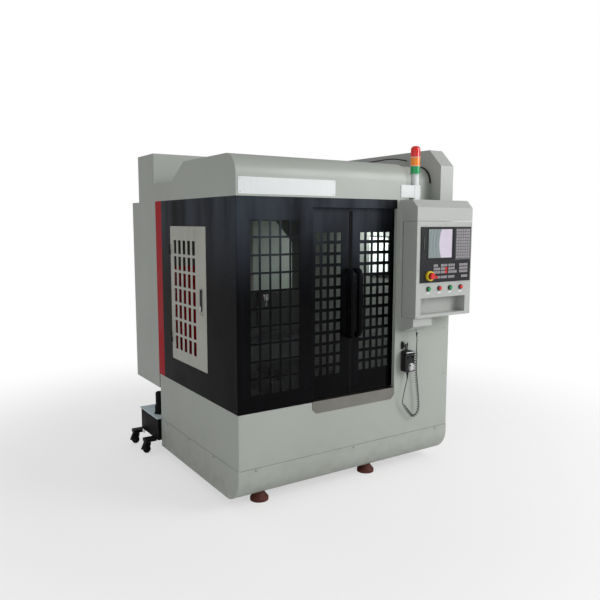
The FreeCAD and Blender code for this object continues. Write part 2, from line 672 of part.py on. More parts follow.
def rear_top_box():
    """The box on top of the rear cabinet."""
    body = new_piece("rear_top_box")
    block(body, ("0", "hood_depth", "panel_top"),
          ("casing_width", "hood_depth + top_box_depth", "panel_top + top_box_rise"))
    hollow(body, ("sheet_metal", "hood_depth + sheet_metal", "panel_top - 1"),
           ("casing_width - sheet_metal", "hood_depth + top_box_depth - sheet_metal",
            "panel_top + top_box_rise - sheet_metal"))


def rear_cabinet():
    """The electrical cabinet, open at the back behind its door."""
    body = new_piece("rear_cabinet")
    block(body, ("0", "stripe_back", "cabinet_low"), ("casing_width", "cabinet_back", "panel_top"))
    hollow(body, ("casing_wall", "stripe_back + casing_wall", "cabinet_low + casing_wall"),
           ("casing_width - casing_wall", "cabinet_back - casing_wall", "panel_top - casing_wall"))
    hollow(body, ("cabinet_door_left + door_lap", "cabinet_back - casing_wall - 1",
                  "cabinet_low + cabinet_door_edge + door_lap"),
           ("cabinet_door_left + cabinet_door_width - door_lap", "cabinet_back + 1",
            "panel_top - cabinet_door_edge - door_lap"))
    # board that carries the switchgear
    block(body, ("cabinet_door_left", "stripe_back + casing_wall",
                 "cabinet_low + cabinet_door_edge + door_lap"),
          ("cabinet_door_left + cabinet_door_width", "stripe_back + casing_wall + board_depth",
           "panel_top - cabinet_door_edge - door_lap"))
    for low in ("cabinet_low + cabinet_door_edge * 2", "panel_top - cabinet_door_edge * 3"):
        fixed_knuckle(body, "cabinet_hinge_x", "cabinet_hinge_y", low)
        block(body, ("cabinet_hinge_x - hinge_sheet / 2", "cabinet_back", low),
              ("cabinet_hinge_x + hinge_sheet / 2", "cabinet_hinge_y - hinge_pin",
               low + " + hinge_height / 2"))


def fixed_knuckle(body, x, y, low):
    """The lower knuckle of a hinge with the pin that stands up from it."""
    post(body, x, y, "hinge_radius", low, "hinge_height / 2")
    post(body, x, y, "hinge_pin", low + " + hinge_height / 2", "hinge_height / 2")


def moving_knuckle(body, x, y, low):
    """The upper knuckle of a hinge, bored for the pin."""
    ring = new_sketch(body, "top", low + " + hinge_height / 2 + panel_gap / 5")
    circle(ring, x, y, "hinge_radius")
    circle(ring, x, y, "hinge_pin + pivot_gap")
    return pad(body, ring, "hinge_height / 2 - panel_gap / 5")


def cabinet_door():
    """The lay-on door of the electrical cabinet."""
    body = new_piece("cabinet_door")
    right = "cabinet_door_left + cabinet_door_width"
    block(body, ("cabinet_door_left", "cabinet_back", "cabinet_low + cabinet_door_edge"),
          (right, "door_back", "panel_top - cabinet_door_edge"))
    round_off(body, "corner_round", "z", [("cabinet_door_left", "door_back"), (right, "door_back")])
    for low in ("cabinet_low + cabinet_door_edge * 2", "panel_top - cabinet_door_edge * 3"):
        moving_knuckle(body, "cabinet_hinge_x", "cabinet_hinge_y", low)
        block(body, (right + " - 1", "cabinet_hinge_y - hinge_sheet / 2",
                     low + " + hinge_height / 2 + panel_gap / 5"),
              ("cabinet_hinge_x - hinge_pin - pivot_gap - hinge_sheet / 3",
               "cabinet_hinge_y + hinge_sheet / 2", low + " + hinge_height"))


# ---------------------------------------------------------------- sliding doors
def door_leaf(name, left, grid):
    """One sliding leaf with its grid of windows."""
    body = new_piece(name)
    grid_plate(body, left, "leaf_front", "leaf_low", "leaf_wide",
               "leaf_depth", "(leaf_top - leaf_low)", (grid + " - " + left, "leaf_first_z"),
               ("leaf_pitch_x", "leaf_pitch_z"), ("leaf_pane_wide", "leaf_pane_tall"),
               ("leaf_columns", "leaf_rows"))


def door_pane(name, grid):
    """The clear sheet behind a leaf's grid."""
    body = new_piece(name)
    front = "leaf_front + lattice_depth"
    block(body, (grid + " - pane_rim", front, "leaf_low + leaf_first_z - pane_rim"),
          (grid + " + grid_wide + pane_rim",
           front + " + pane_depth",
           "leaf_low + leaf_first_z + leaf_pitch_z * (leaf_rows - 1) + leaf_pane_tall + pane_rim"))


def door_handle(name, centre):
    """A long upright handle, bent back to the leaf at both ends."""
    body = new_piece(name)
    low = "base_top + handle_low"
    high = low + " + handle_height"
    outer = "leaf_front - handle_reach"
    left = centre + " - handle_bar / 2"
    right = centre + " + handle_bar / 2"
    sketch = new_sketch(body, "side", left)
    outline(sketch, [
        ("leaf_front", low), (outer, low, "handle_round"), (outer, high, "handle_round"),
        ("leaf_front", high), ("leaf_front", high + " - handle_bar"),
        (outer + " + handle_bar", high + " - handle_bar", "handle_round - handle_bar"),
        (outer + " + handle_bar", low + " + handle_bar", "handle_round - handle_bar"),
        ("leaf_front", low + " + handle_bar")])
    pad(body, sketch, "handle_bar")
    bevel(body, "handle_soften", "z", [(left, outer), (right, outer)])


def sliding_doors():
    """Both leaves with their panes and handles."""
    door_leaf("left_door_leaf", "left_leaf", "left_grid")
    door_leaf("right_door_leaf", "right_leaf", "right_grid")
    door_pane("left_door_pane", "left_grid")
    door_pane("right_door_pane", "right_grid")
    door_handle("left_door_handle", "meeting_x - handle_offset")
    door_handle("right_door_handle", "meeting_x + handle_offset")


# ---------------------------------------------------------------- side door
def side_door_leaf():
    """The light side door: a folded tray with slots, hinge knuckles and latch plate."""
    body = new_piece("side_door_leaf")
    block(body, ("0", "side_door_front", "side_door_z"),
          ("panel_depth", "side_door_back", "side_door_z + side_door_height"))
    sketch = new_sketch(body, "side", "0 - 1", across="side_door_front + slot_first_y",
                        along="side_door_z + slot_first_z")
    box_outline(sketch, "0", "0", "slot_wide", "slot_tall")
    slot = cut(body, sketch, "panel_depth + 2")
    repeat(body, [slot], y=("slot_pitch_y", "slot_columns"), z=("slot_pitch_z", "slot_rows"))
    hollow(body, ("side_door_skin", "side_door_front + side_door_fold",
                  "side_door_z + side_door_fold"),
           ("panel_depth + 1", "side_door_back - side_door_fold",
            "side_door_z + side_door_height - side_door_fold"))
    latch_y = "side_door_front + latch_from_edge"
    block(body, ("0 - latch_sheet", latch_y + " - latch_wide / 2", "side_door_z + latch_low"),
          ("0", latch_y + " + latch_wide / 2", "side_door_z + latch_low + latch_height"))
    for low in HINGE_LOWS:
        middle = low + " + hinge_height / 2 + panel_gap / 5"
        moving_knuckle(body, "hinge_x", "hinge_y", low)
        block(body, ("0 - hinge_sheet", "hinge_y - hinge_plate", middle),
              ("0", "hinge_y - hinge_pin - pivot_gap - hinge_sheet / 3", low + " + hinge_height"))


def side_door_latch():
    """The latch lever, hung from its upper end and pulled out to open."""
    body = new_piece("side_door_latch")
    centre = "side_door_front + latch_from_edge"
    back = "0 - latch_sheet - lever_gap"
    sketch = new_sketch(body, "side", back + " - lever_depth")
    box_outline(sketch, centre + " - lever_wide / 2", "side_door_z + latch_low + lever_low",
                centre + " + lever_wide / 2", "side_door_z + latch_low + latch_height - lever_depth")
    pad(body, sketch, "lever_depth")
    bevel(body, "lever_depth / 3", "z", [
        (back + " - lever_depth", centre + " - lever_wide / 2"),
        (back + " - lever_depth", centre + " + lever_wide / 2")])


# ---------------------------------------------------------------- console
def console_bracket():
    """The welded bracket: cap, spine and neck, with the two pivot pins."""
    body = new_piece("console_bracket")
    cap = new_sketch(body, "side", "console_left")
    outline(cap, [
        ("0", "console_high"), ("0 - console_front", "console_high"),
        ("0 - console_front", "panel_top - cap_chamfer"),
        ("cap_chamfer - console_front", "panel_top"), ("0", "panel_top")])
    pad(body, cap, "console_width")
    block(body, ("console_left", "0 - spine_depth", "console_low - 1"),
          ("console_left + pivot_in * 2", "0", "console_high + 1"))
    neck = new_sketch(body, "side", "console_left")
    outline(neck, [
        ("0", "console_low"), ("0 - neck_front", "console_low"),
        ("0 - neck_front", "console_low - neck_lip"),
        ("0 - neck_foot", "console_low - neck_lip - neck_slope"),
        ("0", "console_low - neck_lip - neck_slope")])
    pad(body, neck, "neck_width")
    post(body, "pivot_x", "pivot_y", "pivot_radius", "console_low", "pivot_height")
    post(body, "pivot_x", "pivot_y", "pivot_radius", "console_high - pivot_height", "pivot_height")
    # gland for the pendant's cord
    post(body, "gland_x", "gland_y", "gland_radius", "gland_low", "gland_depth")


def console_box():
    """The swinging box, with its recess, button bores and pivot bores."""
    body = new_piece("console_box")
    low = "console_low + swing_gap"
    high = "console_high - swing_gap"
    front = "0 - console_front"
    block(body, ("console_left", front, low), ("console_right", "console_back", high))
    hollow(body, ("console_left + recess_left", front + " - 1", "console_low + recess_low"),
           ("console_left + recess_left + recess_width", "recess_depth - console_front",
            "console_low + recess_low + recess_height"))
    for level in (low + " - 1", high + " - pivot_height"):
        bore = new_sketch(body, "top", level)
        circle(bore, "pivot_x", "pivot_y", "pivot_radius + pivot_gap")
        cut(body, bore, "pivot_height + 1")
    drill(body, "console_left + stop_left", "console_low + stop_low", "stop_stem + 1",
          front + " - 1", "stop_ring_depth + 1")
    bezel = new_sketch(body, "front", front + " - bezel_depth")
    circle(bezel, "console_left + button_left", "console_low + button_low", "bezel_radius")
    ring = pad(body, bezel, "bezel_depth")
    repeat(body, [ring], x=("button_pitch", "4"))
    bore = new_sketch(body, "front", front + " - bezel_depth - 1")
    circle(bore, "console_left + button_left", "console_low + button_low",
           "button_radius + pivot_gap")
    hole = cut(body, bore, "bezel_depth + 1 + button_depth + button_travel - bezel_depth")
    repeat(body, [hole], x=("button_pitch", "4"))


def display_unit():
    """The black control panel with its sunk screen and the stop button's ring."""
    body = new_piece("display_unit")
    left = "console_left + display_left"
    low = "console_low + display_low"
    face = "0 - console_front - display_depth"
    block(body, (left, face, low),
          (left + " + display_width", "0 - console_front", low + " + display_height"))
    hollow(body, ("console_left + screen_left", face + " - 1", "console_low + screen_low"),
           ("console_left + screen_left + screen_width", face + " + screen_sunk",
            "console_low + screen_low + screen_height"))
    stud(body, "console_left + stop_left", "console_low + stop_low", "stop_ring",
         face + " - stop_ring_depth", "stop_ring_depth")
    drill(body, "console_left + stop_left", "console_low + stop_low", "stop_stem + pivot_gap",
          face + " - stop_ring_depth - 1", "stop_ring_depth + display_depth + 2")


def console_keys():
    """The keypad beside the screen and the rows of keys below it."""
    body = new_piece("console_keys")
    front = "0 - console_front - display_depth - key_proud"
    pad_keys = new_sketch(body, "front", front, across="console_left + keypad_left",
                          along="console_low + keypad_low")
    box_outline(pad_keys, "0", "0", "key_size", "key_height")
    key = pad(body, pad_keys, "key_proud")
    repeat(body, [key], x=("key_pitch_x", "key_columns"), z=("key_pitch_z", "key_rows"))
    row_keys = new_sketch(body, "front", front, across="console_left + panel_keys_left + "
                          "panel_key_pitch_x", along="console_low + panel_keys_low")
    box_outline(row_keys, "0", "0", "panel_key_wide", "panel_key_tall")
    key = pad(body, row_keys, "key_proud")
    repeat(body, [key], x=("panel_key_pitch_x", "panel_key_columns - 1"),
           z=("panel_key_pitch_z", "panel_key_rows"))


def emergency_stop():
    """The mushroom-headed stop button."""
    body = new_piece("emergency_stop")
    neck = "stop_head_front + stop_head_depth - head_air"
    sketch = new_sketch(body, "side", "console_left + stop_left", along="console_low + stop_low")
    outline(sketch, [
        ("stop_head_front", "0"), ("stop_head_front", "stop_head - stop_edge"),
        ("stop_head_front + stop_edge", "stop_head"), (neck + " - stop_edge / 2", "stop_head"),
        (neck, "stop_head - stop_edge * 2"), (neck, "stop_stem"),
        ("0 - console_front", "stop_stem"), ("0 - console_front", "0")])
    turn(body, sketch, "H_Axis")


def push_button(name, number):
    """One of the four push buttons, numbered from the left."""
    body = new_piece(name)
    front = "0 - console_front - bezel_depth - button_travel - button_proud"
    x = "console_left + button_left + button_pitch * %d" % number
    stud(body, x, "console_low + button_low", "button_radius", front, "button_depth")


# ---------------------------------------------------------------- signal tower
def signal_tower_base():
    """The tower's foot, its bracket to the hood and the white lower body."""
    body = new_piece("signal_tower_base")
    foot_low = "panel_top"
    foot_high = "panel_top + tower_foot_height"
    block(body, ("tower_x - tower_foot / 2", "tower_y - tower_foot / 2", foot_low),
          ("tower_x + tower_foot / 2", "tower_y + tower_foot / 2", foot_high))
    block(body, ("tower_x - tower_foot / 2 - bracket_reach", "0 - bracket_depth",
                 "panel_top + bracket_low"),
          ("tower_x - tower_foot / 2", "0", foot_high))
    post(body, "tower_x", "tower_y", "tower_body", foot_high, "tower_body_height")


def tower_lens(name, below, height, dome="0"):
    """One lens: a drum with a rim at its foot, domed at the top of the tower."""
    body = new_piece(name)
    low = "panel_top + tower_foot_height + tower_body_height" + below
    sketch = new_sketch(body, "front", "tower_y", across="tower_x")
    corners = [("0", low), ("lens_radius", low), ("lens_radius", low + " + lens_rim * 2"),
               ("lens_radius - lens_rim", low + " + lens_rim * 3")]
    top = low + " + " + height
    if dome == "0":
        corners += [("lens_radius - lens_rim", top), ("0", top)]
    else:
        corners += [("lens_radius - lens_rim", top, dome), ("0", top)]
    outline(sketch, corners)
    turn(body, sketch)


# ---------------------------------------------------------------- hand pendant
def pendant_body():
    """The hand-held pulse box with its hanging loop and cord socket."""
    body = new_piece("pendant_body")
    low = "pendant_low"
    high = "pendant_low + pendant_height"
    left = "pendant_x - pendant_width / 2"
    right = "pendant_x + pendant_width / 2"
    face = new_sketch(body, "front", "pendant_face")
    outline(face, [(left, low, "pendant_round"), (right, low, "pendant_round"),
                   (right, high, "pendant_round"), (left, high, "pendant_round")])
    pad(body, face, "pendant_depth")
    loop = new_sketch(body, "front", "pendant_back - hook_rod * 2")
    box_outline(loop, "pendant_x - hook_width / 2", high + " - 1",
                "pendant_x + hook_width / 2", high + " + hook_height")
    box_outline(loop, "pendant_x - hook_width / 2 + hook_rod", high + " + hook_rod",
                "pendant_x + hook_width / 2 - hook_rod", high + " + hook_height - hook_rod")
    pad(body, loop, "hook_rod")
    post(body, "pendant_x", "(pendant_back + pendant_face) / 2", "gland_radius",
         low + " - gland_depth", "gland_depth + 1")
    for spot in KNOB_SPOTS:
        drill(body, spot[0], spot[1], "knob_shaft + pivot_gap", "pendant_face - 1",
              "shaft_depth + 2")


WHEEL_SPOT = ("pendant_x + wheel_in_x", "pendant_low + wheel_in_z")
KNOB_SPOTS = [
    WHEEL_SPOT,
    ("pendant_x - knob_in_x", "pendant_low + knob_in_z"),
    ("pendant_x + knob_in_x", "pendant_low + knob_in_z"),
]


def pendant_handwheel():
    """The pulse wheel with its rim, crank knob and shaft."""
    body = new_piece("pendant_handwheel")
    face = "pendant_face - head_air"
    sketch = new_sketch(body, "side", WHEEL_SPOT[0], along=WHEEL_SPOT[1])
    outline(sketch, [
        (face + " - wheel_depth", "0"), (face + " - wheel_depth", "wheel_hub - hook_play"),
        (face + " - wheel_depth + hook_play", "wheel_hub"), (face + " - wheel_rim", "wheel_hub"),
        (face + " - wheel_rim", "wheel_radius"), (face, "wheel_radius"), (face, "knob_shaft"),
        ("pendant_face + shaft_depth", "knob_shaft"), ("pendant_face + shaft_depth", "0")])
    turn(body, sketch, "H_Axis")
    stud(body, WHEEL_SPOT[0] + " + crank_in", WHEEL_SPOT[1], "knob_shaft",
         face + " - wheel_depth - crank_reach", "crank_reach + 1")


def selector_knob(name, spot):
    """A pointer knob on its shaft."""
    body = new_piece(name)
    face = "pendant_face - head_air"
    stud(body, spot[0], spot[1], "knob_radius", face + " - knob_depth", "knob_depth")
    stud(body, spot[0], spot[1], "knob_shaft", face, "shaft_depth + head_air")
    for near, far in (("0 - knob_radius - 1", "0 - knob_flat"), ("knob_flat", "knob_radius + 1")):
        hollow(body, (spot[0] + " + " + near, face + " - knob_depth - 1",
                      spot[1] + " - knob_radius - 1"),
               (spot[0] + " + " + far, face + " - knob_foot", spot[1] + " + knob_radius + 1"))


# ---------------------------------------------------------------- bed and column
def machine_bed():
    """The cast bed: a wide foot, a pedestal and the two lower rails."""
    body = new_piece("machine_bed")
    block(body, ("bed_left", "bed_front", "bed_low"),
          ("bed_left + bed_width", "bed_front + bed_depth", "bed_step"))
    block(body, ("axis_x - pedestal_half", "pedestal_front", "bed_step - 1"),
          ("axis_x + pedestal_half", "pedestal_back", "bed_top"))
    for side in ("-", "+"):
        middle = "axis_x %s rail_offset" % side
        block(body, (middle + " - rail_wide / 2", "rail_front", "bed_top - 1"),
              (middle + " + rail_wide / 2", "rail_front + rail_length", "bed_top + rail_tall"))


def machine_column():
    """The cast column with its two upright rails."""
    body = new_piece("machine_column")
    block(body, ("axis_x - pedestal_half", "column_front", "bed_top"),
          ("axis_x + pedestal_half", "column_back", "column_top"))
    hollow(body, ("axis_x - rail_offset + rail_wide", "column_front - 1", "column_rail_low"),
           ("axis_x + rail_offset - rail_wide", "column_front + column_recess",
            "column_top - column_recess * 2"))
    for side in ("-", "+"):
        middle = "axis_x %s rail_offset" % side
        block(body, (middle + " - rail_wide / 2", "column_front - rail_tall", "column_rail_low"),
              (middle + " + rail_wide / 2", "column_front + 1",
               "column_rail_low + column_rail_length"))


def saddle():
    """The saddle: it straddles the bed's rails and carries the cross rails."""
    body = new_piece("saddle")
    low = "bed_top + slide_gap"
    top = low + " + saddle_height"
    block(body, ("axis_x - saddle_half_x", "axis_y - saddle_half_y", low),
          ("axis_x + saddle_half_x", "axis_y + saddle_half_y", top))
    for side in ("-", "+"):
        middle = "axis_x %s rail_offset" % side
        hollow(body, (middle + " - rail_wide / 2 - rail_gap", "axis_y - saddle_half_y - 1", low + " - 1"),
               (middle + " + rail_wide / 2 + rail_gap", "axis_y + saddle_half_y + 1",
                "bed_top + rail_tall + rail_gap"))
        middle = "axis_y %s cross_rail_offset" % side
        block(body, ("axis_x - saddle_half_x", middle + " - rail_wide / 2", top + " - 1"),
              ("axis_x + saddle_half_x", middle + " + rail_wide / 2", top + " + rail_tall"))


def work_table():
    """The slotted table on the cross rails."""
    body = new_piece("work_table")
    block(body, ("axis_x - table_half_x", "axis_y - table_half_y", "table_low"),
          ("axis_x + table_half_x", "axis_y + table_half_y", "table_top"))
    for side in ("-", "+"):
        middle = "axis_y %s cross_rail_offset" % side
        hollow(body, ("axis_x - table_half_x - 1", middle + " - rail_wide / 2 - rail_gap",
                      "table_low - 1"),
               ("axis_x + table_half_x + 1", middle + " + rail_wide / 2 + rail_gap",
                "table_low - slide_gap + rail_tall + rail_gap"))
    slot = new_sketch(body, "side", "axis_x - table_half_x - 1", across="axis_y - tee_pitch",
                      along="table_top")
    outline(slot, [
        ("0 - tee_neck / 2", "1"), ("0 - tee_neck / 2", "0 - tee_neck_depth"),
        ("0 - tee_wide / 2", "0 - tee_neck_depth"), ("0 - tee_wide / 2", "0 - tee_depth"),
        ("tee_wide / 2", "0 - tee_depth"), ("tee_wide / 2", "0 - tee_neck_depth"),
        ("tee_neck / 2", "0 - tee_neck_depth"), ("tee_neck / 2", "1")])
    tee = cut(body, slot, "table_half_x * 2 + 2")
    repeat(body, [tee], y=("tee_pitch", "3"))


def spindle_head():
    """The cast head: slide plate, arm and bored spindle housing."""
    body = new_piece("spindle_head")
    high = "head_low + head_height"
    back = "column_front - slide_gap"
    block(body, ("axis_x - head_plate_half", back + " - head_plate", "head_low"),
          ("axis_x + head_plate_half", back, high))
    block(body, ("axis_x - head_half", "axis_y", "head_low"),
          ("axis_x + head_half", back + " - head_plate + 1", high))
    bevel(body, "head_bevel", "y", [("axis_x + head_half", high)])
    post(body, "axis_x", "axis_y", "housing_radius", "head_low - housing_drop", "housing_height")
    for side in ("-", "+"):
        middle = "axis_x %s rail_offset" % side
        hollow(body, (middle + " - rail_wide / 2 - rail_gap",
                      "column_front - rail_tall - rail_gap", "head_low - 1"),
               (middle + " + rail_wide / 2 + rail_gap", back + " + 1", high + " + 1"))
    bore = new_sketch(body, "top", "head_low - housing_drop - 1")
    circle(bore, "axis_x", "axis_y", "spindle_radius + pivot_gap")
    cut(body, bore, "housing_height + 1")


def head_cover():
    """The folded cover over the head, open at the back and under the spindle."""
    body = new_piece("head_cover")
    left = "axis_x - head_cover_half"
    right = "axis_x + head_cover_half"
    high = "head_cover_low + head_cover_height"
    back = "column_front - slide_gap - head_plate - head_air"
    outer = new_sketch(body, "front", "head_cover_front")
    outline(outer, [
        (left, "head_cover_low"), (right, "head_cover_low"), (right, high + " - head_cover_bevel_z"),
        (right + " - head_cover_bevel_x", high), (left, high)])
    pad(body, outer, back + " - head_cover_front")
    inner = new_sketch(body, "front", "head_cover_front + sheet_metal")
    outline(inner, [
        (left + " + sheet_metal", "head_cover_low + sheet_metal"),
        (right + " - sheet_metal", "head_cover_low + sheet_metal"),
        (right + " - sheet_metal", high + " - head_cover_bevel_z - sheet_metal / 2"),
        (right + " - head_cover_bevel_x - sheet_metal / 2", high + " - sheet_metal"),
        (left + " + sheet_metal", high + " - sheet_metal")])
    cut(body, inner, back + " - head_cover_front")
    hole = new_sketch(body, "top", "head_cover_low - 1")
    circle(hole, "axis_x", "axis_y", "housing_radius + cover_hole_gap")
    cut(body, hole, "sheet_metal + 2")
    hollow(body, ("axis_x - head_half - cover_hole_gap", "axis_y", "head_cover_low - 1"),
           ("axis_x + head_half + cover_hole_gap", back + " + 1",
            "head_cover_low + sheet_metal + 1"))


def spindle():
    """The spindle with its nose, collet nut and end mill."""
    body = new_piece("spindle")
    nose = "head_low - housing_drop"
    collet = nose + " - nose_drop"
    tool = collet + " - collet_drop"
    sketch = new_sketch(body, "front", "axis_y", across="axis_x")
    outline(sketch, [
        ("0", tool + " - tool_drop"), ("tool_radius", tool + " - tool_drop"),
        ("tool_radius", tool), ("collet_radius - collet_edge", tool),
        ("collet_radius", tool + " + collet_edge"),
        ("collet_radius", collet), ("nose_radius", collet), ("nose_radius", nose),
        ("spindle_radius", nose), ("spindle_radius", nose + " + housing_height - 1"),
        ("0", nose + " + housing_height - 1")])
    turn(body, sketch)


# ---------------------------------------------------------------- coolant tank
def coolant_tank():
    """The tank on wheels behind the base, with its lid and caster arms."""
    body = new_piece("coolant_tank")
    right = "tank_left + tank_width"
    back = "tank_front + tank_depth"
    block(body, ("tank_left", "tank_front", "tank_low"), (right, back, "tank_top - tank_lid"))
    block(body, ("tank_left - lid_lip", "tank_front - lid_lip", "tank_top - tank_lid"),
          (right + " + lid_lip", back + " + lid_lip", "tank_top"))
    arm = new_sketch(body, "top", "arm_low")
    box_outline(arm, "caster_x - arm_half", "caster_y - arm_half", "tank_left + 1",
                "caster_y + arm_half")
    plate = pad(body, arm, "arm_height")
    bore = new_sketch(body, "top", "arm_low - 1")
    circle(bore, "caster_x", "caster_y", "swivel_radius + pivot_gap")
    hole = cut(body, bore, "stem_depth + 2")
    repeat(body, [plate, hole], y=("caster_pitch", "2"))
    for y in ("caster_y", "caster_y + caster_pitch"):
        for side in ("-", "+"):
            near = "%s %s (caster_tread / 2 + fork_gap)" % (y, side)
            far = near + " %s fork_sheet" % side
            low, high = (far, near) if side == "-" else (near, far)
            block(body, ("fixed_caster_x - fixed_half", low, "caster_axle_z - cheek_foot"),
                  ("fixed_caster_x + fixed_half", high, "tank_low + 1"))
        axle = new_sketch(body, "front", y + " - caster_tread / 2 - fork_gap - 1")
        circle(axle, "fixed_caster_x", "caster_axle_z", "axle_radius")
        pad(body, axle, "caster_tread + 2 * fork_gap + 2")


def coolant_pump():
    """The upright pump on the tank's lid."""
    body = new_piece("coolant_pump")
    sketch = new_sketch(body, "front", "pump_y", across="pump_x")
    outline(sketch, [
        ("0", "tank_top"), ("pump_base + pump_flange", "tank_top"),
        ("pump_base + pump_flange", "tank_top + pump_flange"),
        ("pump_base", "tank_top + pump_flange"), ("pump_base", "tank_top + pump_base_height"),
        ("pump_radius", "tank_top + pump_base_height"),
        ("pump_radius", "tank_top + pump_height - pump_crown"),
        ("pump_radius - pump_crown", "tank_top + pump_height"), ("0", "tank_top + pump_height")])
    turn(body, sketch)


def caster_fork(name, y):
    """A braked swivel fork: stem, crown, two cheeks, axle and brake pedal."""
    body = new_piece(name)
    crown_low = "2 * caster_wheel + crown_air"
    crown_high = "arm_low - panel_gap / 5"
    axle_x = "caster_x - trail"
    half = "(caster_tread / 2 + fork_gap + fork_sheet)"
    post(body, "caster_x", y, "swivel_radius", crown_high + " - 1", "stem_depth + 1")
    block(body, (axle_x + " - crown_front", y + " - " + half, crown_low),
          ("caster_x + crown_back", y + " + " + half, crown_high))
    for side in ("-", "+"):
        near = "%s %s (caster_tread / 2 + fork_gap)" % (y, side)
        far = "%s %s %s" % (y, side, half)
        low, high = (far, near) if side == "-" else (near, far)
        cheek = new_sketch(body, "front", low)
        outline(cheek, [
            (axle_x + " - cheek_foot", "caster_axle_z - cheek_drop"),
            (axle_x + " + cheek_foot", "caster_axle_z - cheek_drop"),
            ("caster_x + crown_back", crown_low + " + 1"),
            (axle_x + " - crown_front", crown_low + " + 1")])
        pad(body, cheek, "(%s) - (%s)" % (high, low))
    axle = new_sketch(body, "front", y + " - caster_tread / 2 - fork_gap - 1")
    circle(axle, axle_x, "caster_axle_z", "axle_radius")
    pad(body, axle, "caster_tread + 2 * fork_gap + 2")
    pedal = new_sketch(body, "front", y + " - caster_tread / 2")
    outline(pedal, [
        (axle_x + " - crown_front + 1", crown_low), (axle_x + " - crown_front + 1", crown_high),
        (axle_x + " - pedal_top", "caster_axle_z + pedal_rise"),
        (axle_x + " - pedal_reach", "caster_axle_z + pedal_tip"),
        (axle_x + " - pedal_under", "caster_axle_z + pedal_tip")])
    pad(body, pedal, "caster_tread")


def caster_wheel(name, x, y):
    """A caster wheel with a dished hub."""
    body = new_piece(name)
    sketch = new_sketch(body, "side", x, along="caster_axle_z")
    wheel_outline(sketch, y)
    return body, turn(body, sketch, "H_Axis")


def wheel_outline(sketch, y):
    """Half the section of a wheel about the axis through its hub."""
    left = y + " - caster_tread / 2"
    right = y + " + caster_tread / 2"
    return outline(sketch, [
        (left, "axle_radius + pivot_gap"), (left, "caster_wheel * 0.45"),
        (left + " + 3", "caster_wheel * 0.5"), (left + " + 3", "caster_wheel * 0.7"),
        (left, "caster_wheel * 0.75"), (left, "caster_wheel - 2"), (left + " + 3", "caster_wheel"),
        (right + " - 3", "caster_wheel"), (right, "caster_wheel - 2"),
        (right, "caster_wheel * 0.75"), (right + " - 3", "caster_wheel * 0.7"),
        (right + " - 3", "caster_wheel * 0.5"), (right, "caster_wheel * 0.45"),
        (right, "axle_radius + pivot_gap")])


def casters():
    """Two braked swivel casters on the left, two fixed wheels on the right."""
    rear = "caster_y + caster_pitch"
    caster_fork("front_caster_fork", "caster_y")
    caster_fork("rear_caster_fork", rear)
    caster_wheel("front_caster_wheel", "caster_x - trail", "caster_y")
    caster_wheel("rear_caster_wheel", "caster_x - trail", rear)
    body, _ = caster_wheel("fixed_caster_wheels", "fixed_caster_x", "caster_y")
    second = new_sketch(body, "side", "fixed_caster_x", along="caster_axle_z")
    wheel_outline(second, rear)
    turn(body, second, "H_Axis")


# ---------------------------------------------------------------- cords
def bend(first, corner, last):
    """The arc that leaves first and reaches last along a corner's two legs."""
    back = (first - corner).normalize()
    ahead = (last - corner).normalize()
    half = back.getAngle(ahead) / 2
    radius = (last - corner).Length * math.tan(half)
    crest = corner + (back + ahead).normalize() * (radius / math.sin(half) - radius)
    return Part.Arc(first, crest, last).toShape()


def rounded_path(points):
    """Straight runs joined by tangent arcs, in order: a run, an arc, a run and so on."""
    edges, start = [], points[0]
    for before, at, after in zip(points, points[1:], points[2:]):
        reach = 0.45 * min((before - at).Length, (after - at).Length)
        first = at + (before - at).normalize() * reach
        last = at + (after - at).normalize() * reach
        edges += [Part.LineSegment(start, first).toShape(), bend(first, at, last)]
        start = last
    edges.append(Part.LineSegment(start, points[-1]).toShape())
    return edges


CURL_STEPS = 16


def curls_round(guide, curls, reach):
    """Points of a helix round a guide; it grows and shrinks over its first and last curls."""
    spots = guide.discretize(Number=curls * CURL_STEPS + 1)
    final = len(spots) - 1
    outward, points = Vector(0, 1, 0), []
    for step, spot in enumerate(spots):
        along = (spots[min(step + 1, final)] - spots[max(step - 1, 0)]).normalize()
        outward = (outward - along * outward.dot(along)).normalize()
        share = min(1, min(step, final - step) / (size("curl_growth") * CURL_STEPS))
        radius = reach * share * share * (3 - 2 * share)
        angle = 2 * math.pi * step / CURL_STEPS
        sideways = along.cross(outward)
        points.append(spot + outward * (radius * math.cos(angle))
                      + sideways * (radius * math.sin(angle)))
    return points


def wound_arcs(points, first_way, last_way):
    """Two tangent arcs for each quarter turn of a helix."""
    knots = range(0, len(points), CURL_STEPS // 4)
    ways = [(points[k + 1] - points[k - 1]).normalize() for k in knots[1:-1]]
    ways = [first_way] + ways + [last_way]
    spots = [points[k] for k in knots]
    edges = []
    for start, end, leaving, arriving in zip(spots, spots[1:], ways, ways[1:]):
        span, both = end - start, leaving + arriving
        turned = 2 * (1 - leaving.dot(arriving))
        root = math.sqrt(span.dot(both) ** 2 + turned * span.dot(span))
        leg = (root - span.dot(both)) / turned
        middle = (start + leaving * leg + end - arriving * leg) * 0.5
        edges.append(bend(start, start + leaving * leg, middle))
        edges.append(bend(middle, end - arriving * leg, end))
    return edges


def least_gap(path, radius):
    """The least gap between a tube's turns, measured on points of its middle line."""
    count = int(path.Length)
    points = path.discretize(Number=count)
    apart = int(4 * math.pi * radius)
    gaps = [(a - b).Length for i, a in enumerate(points) for b in points[i + apart:i + 4 * apart]]
    return min(gaps) - 2 * radius


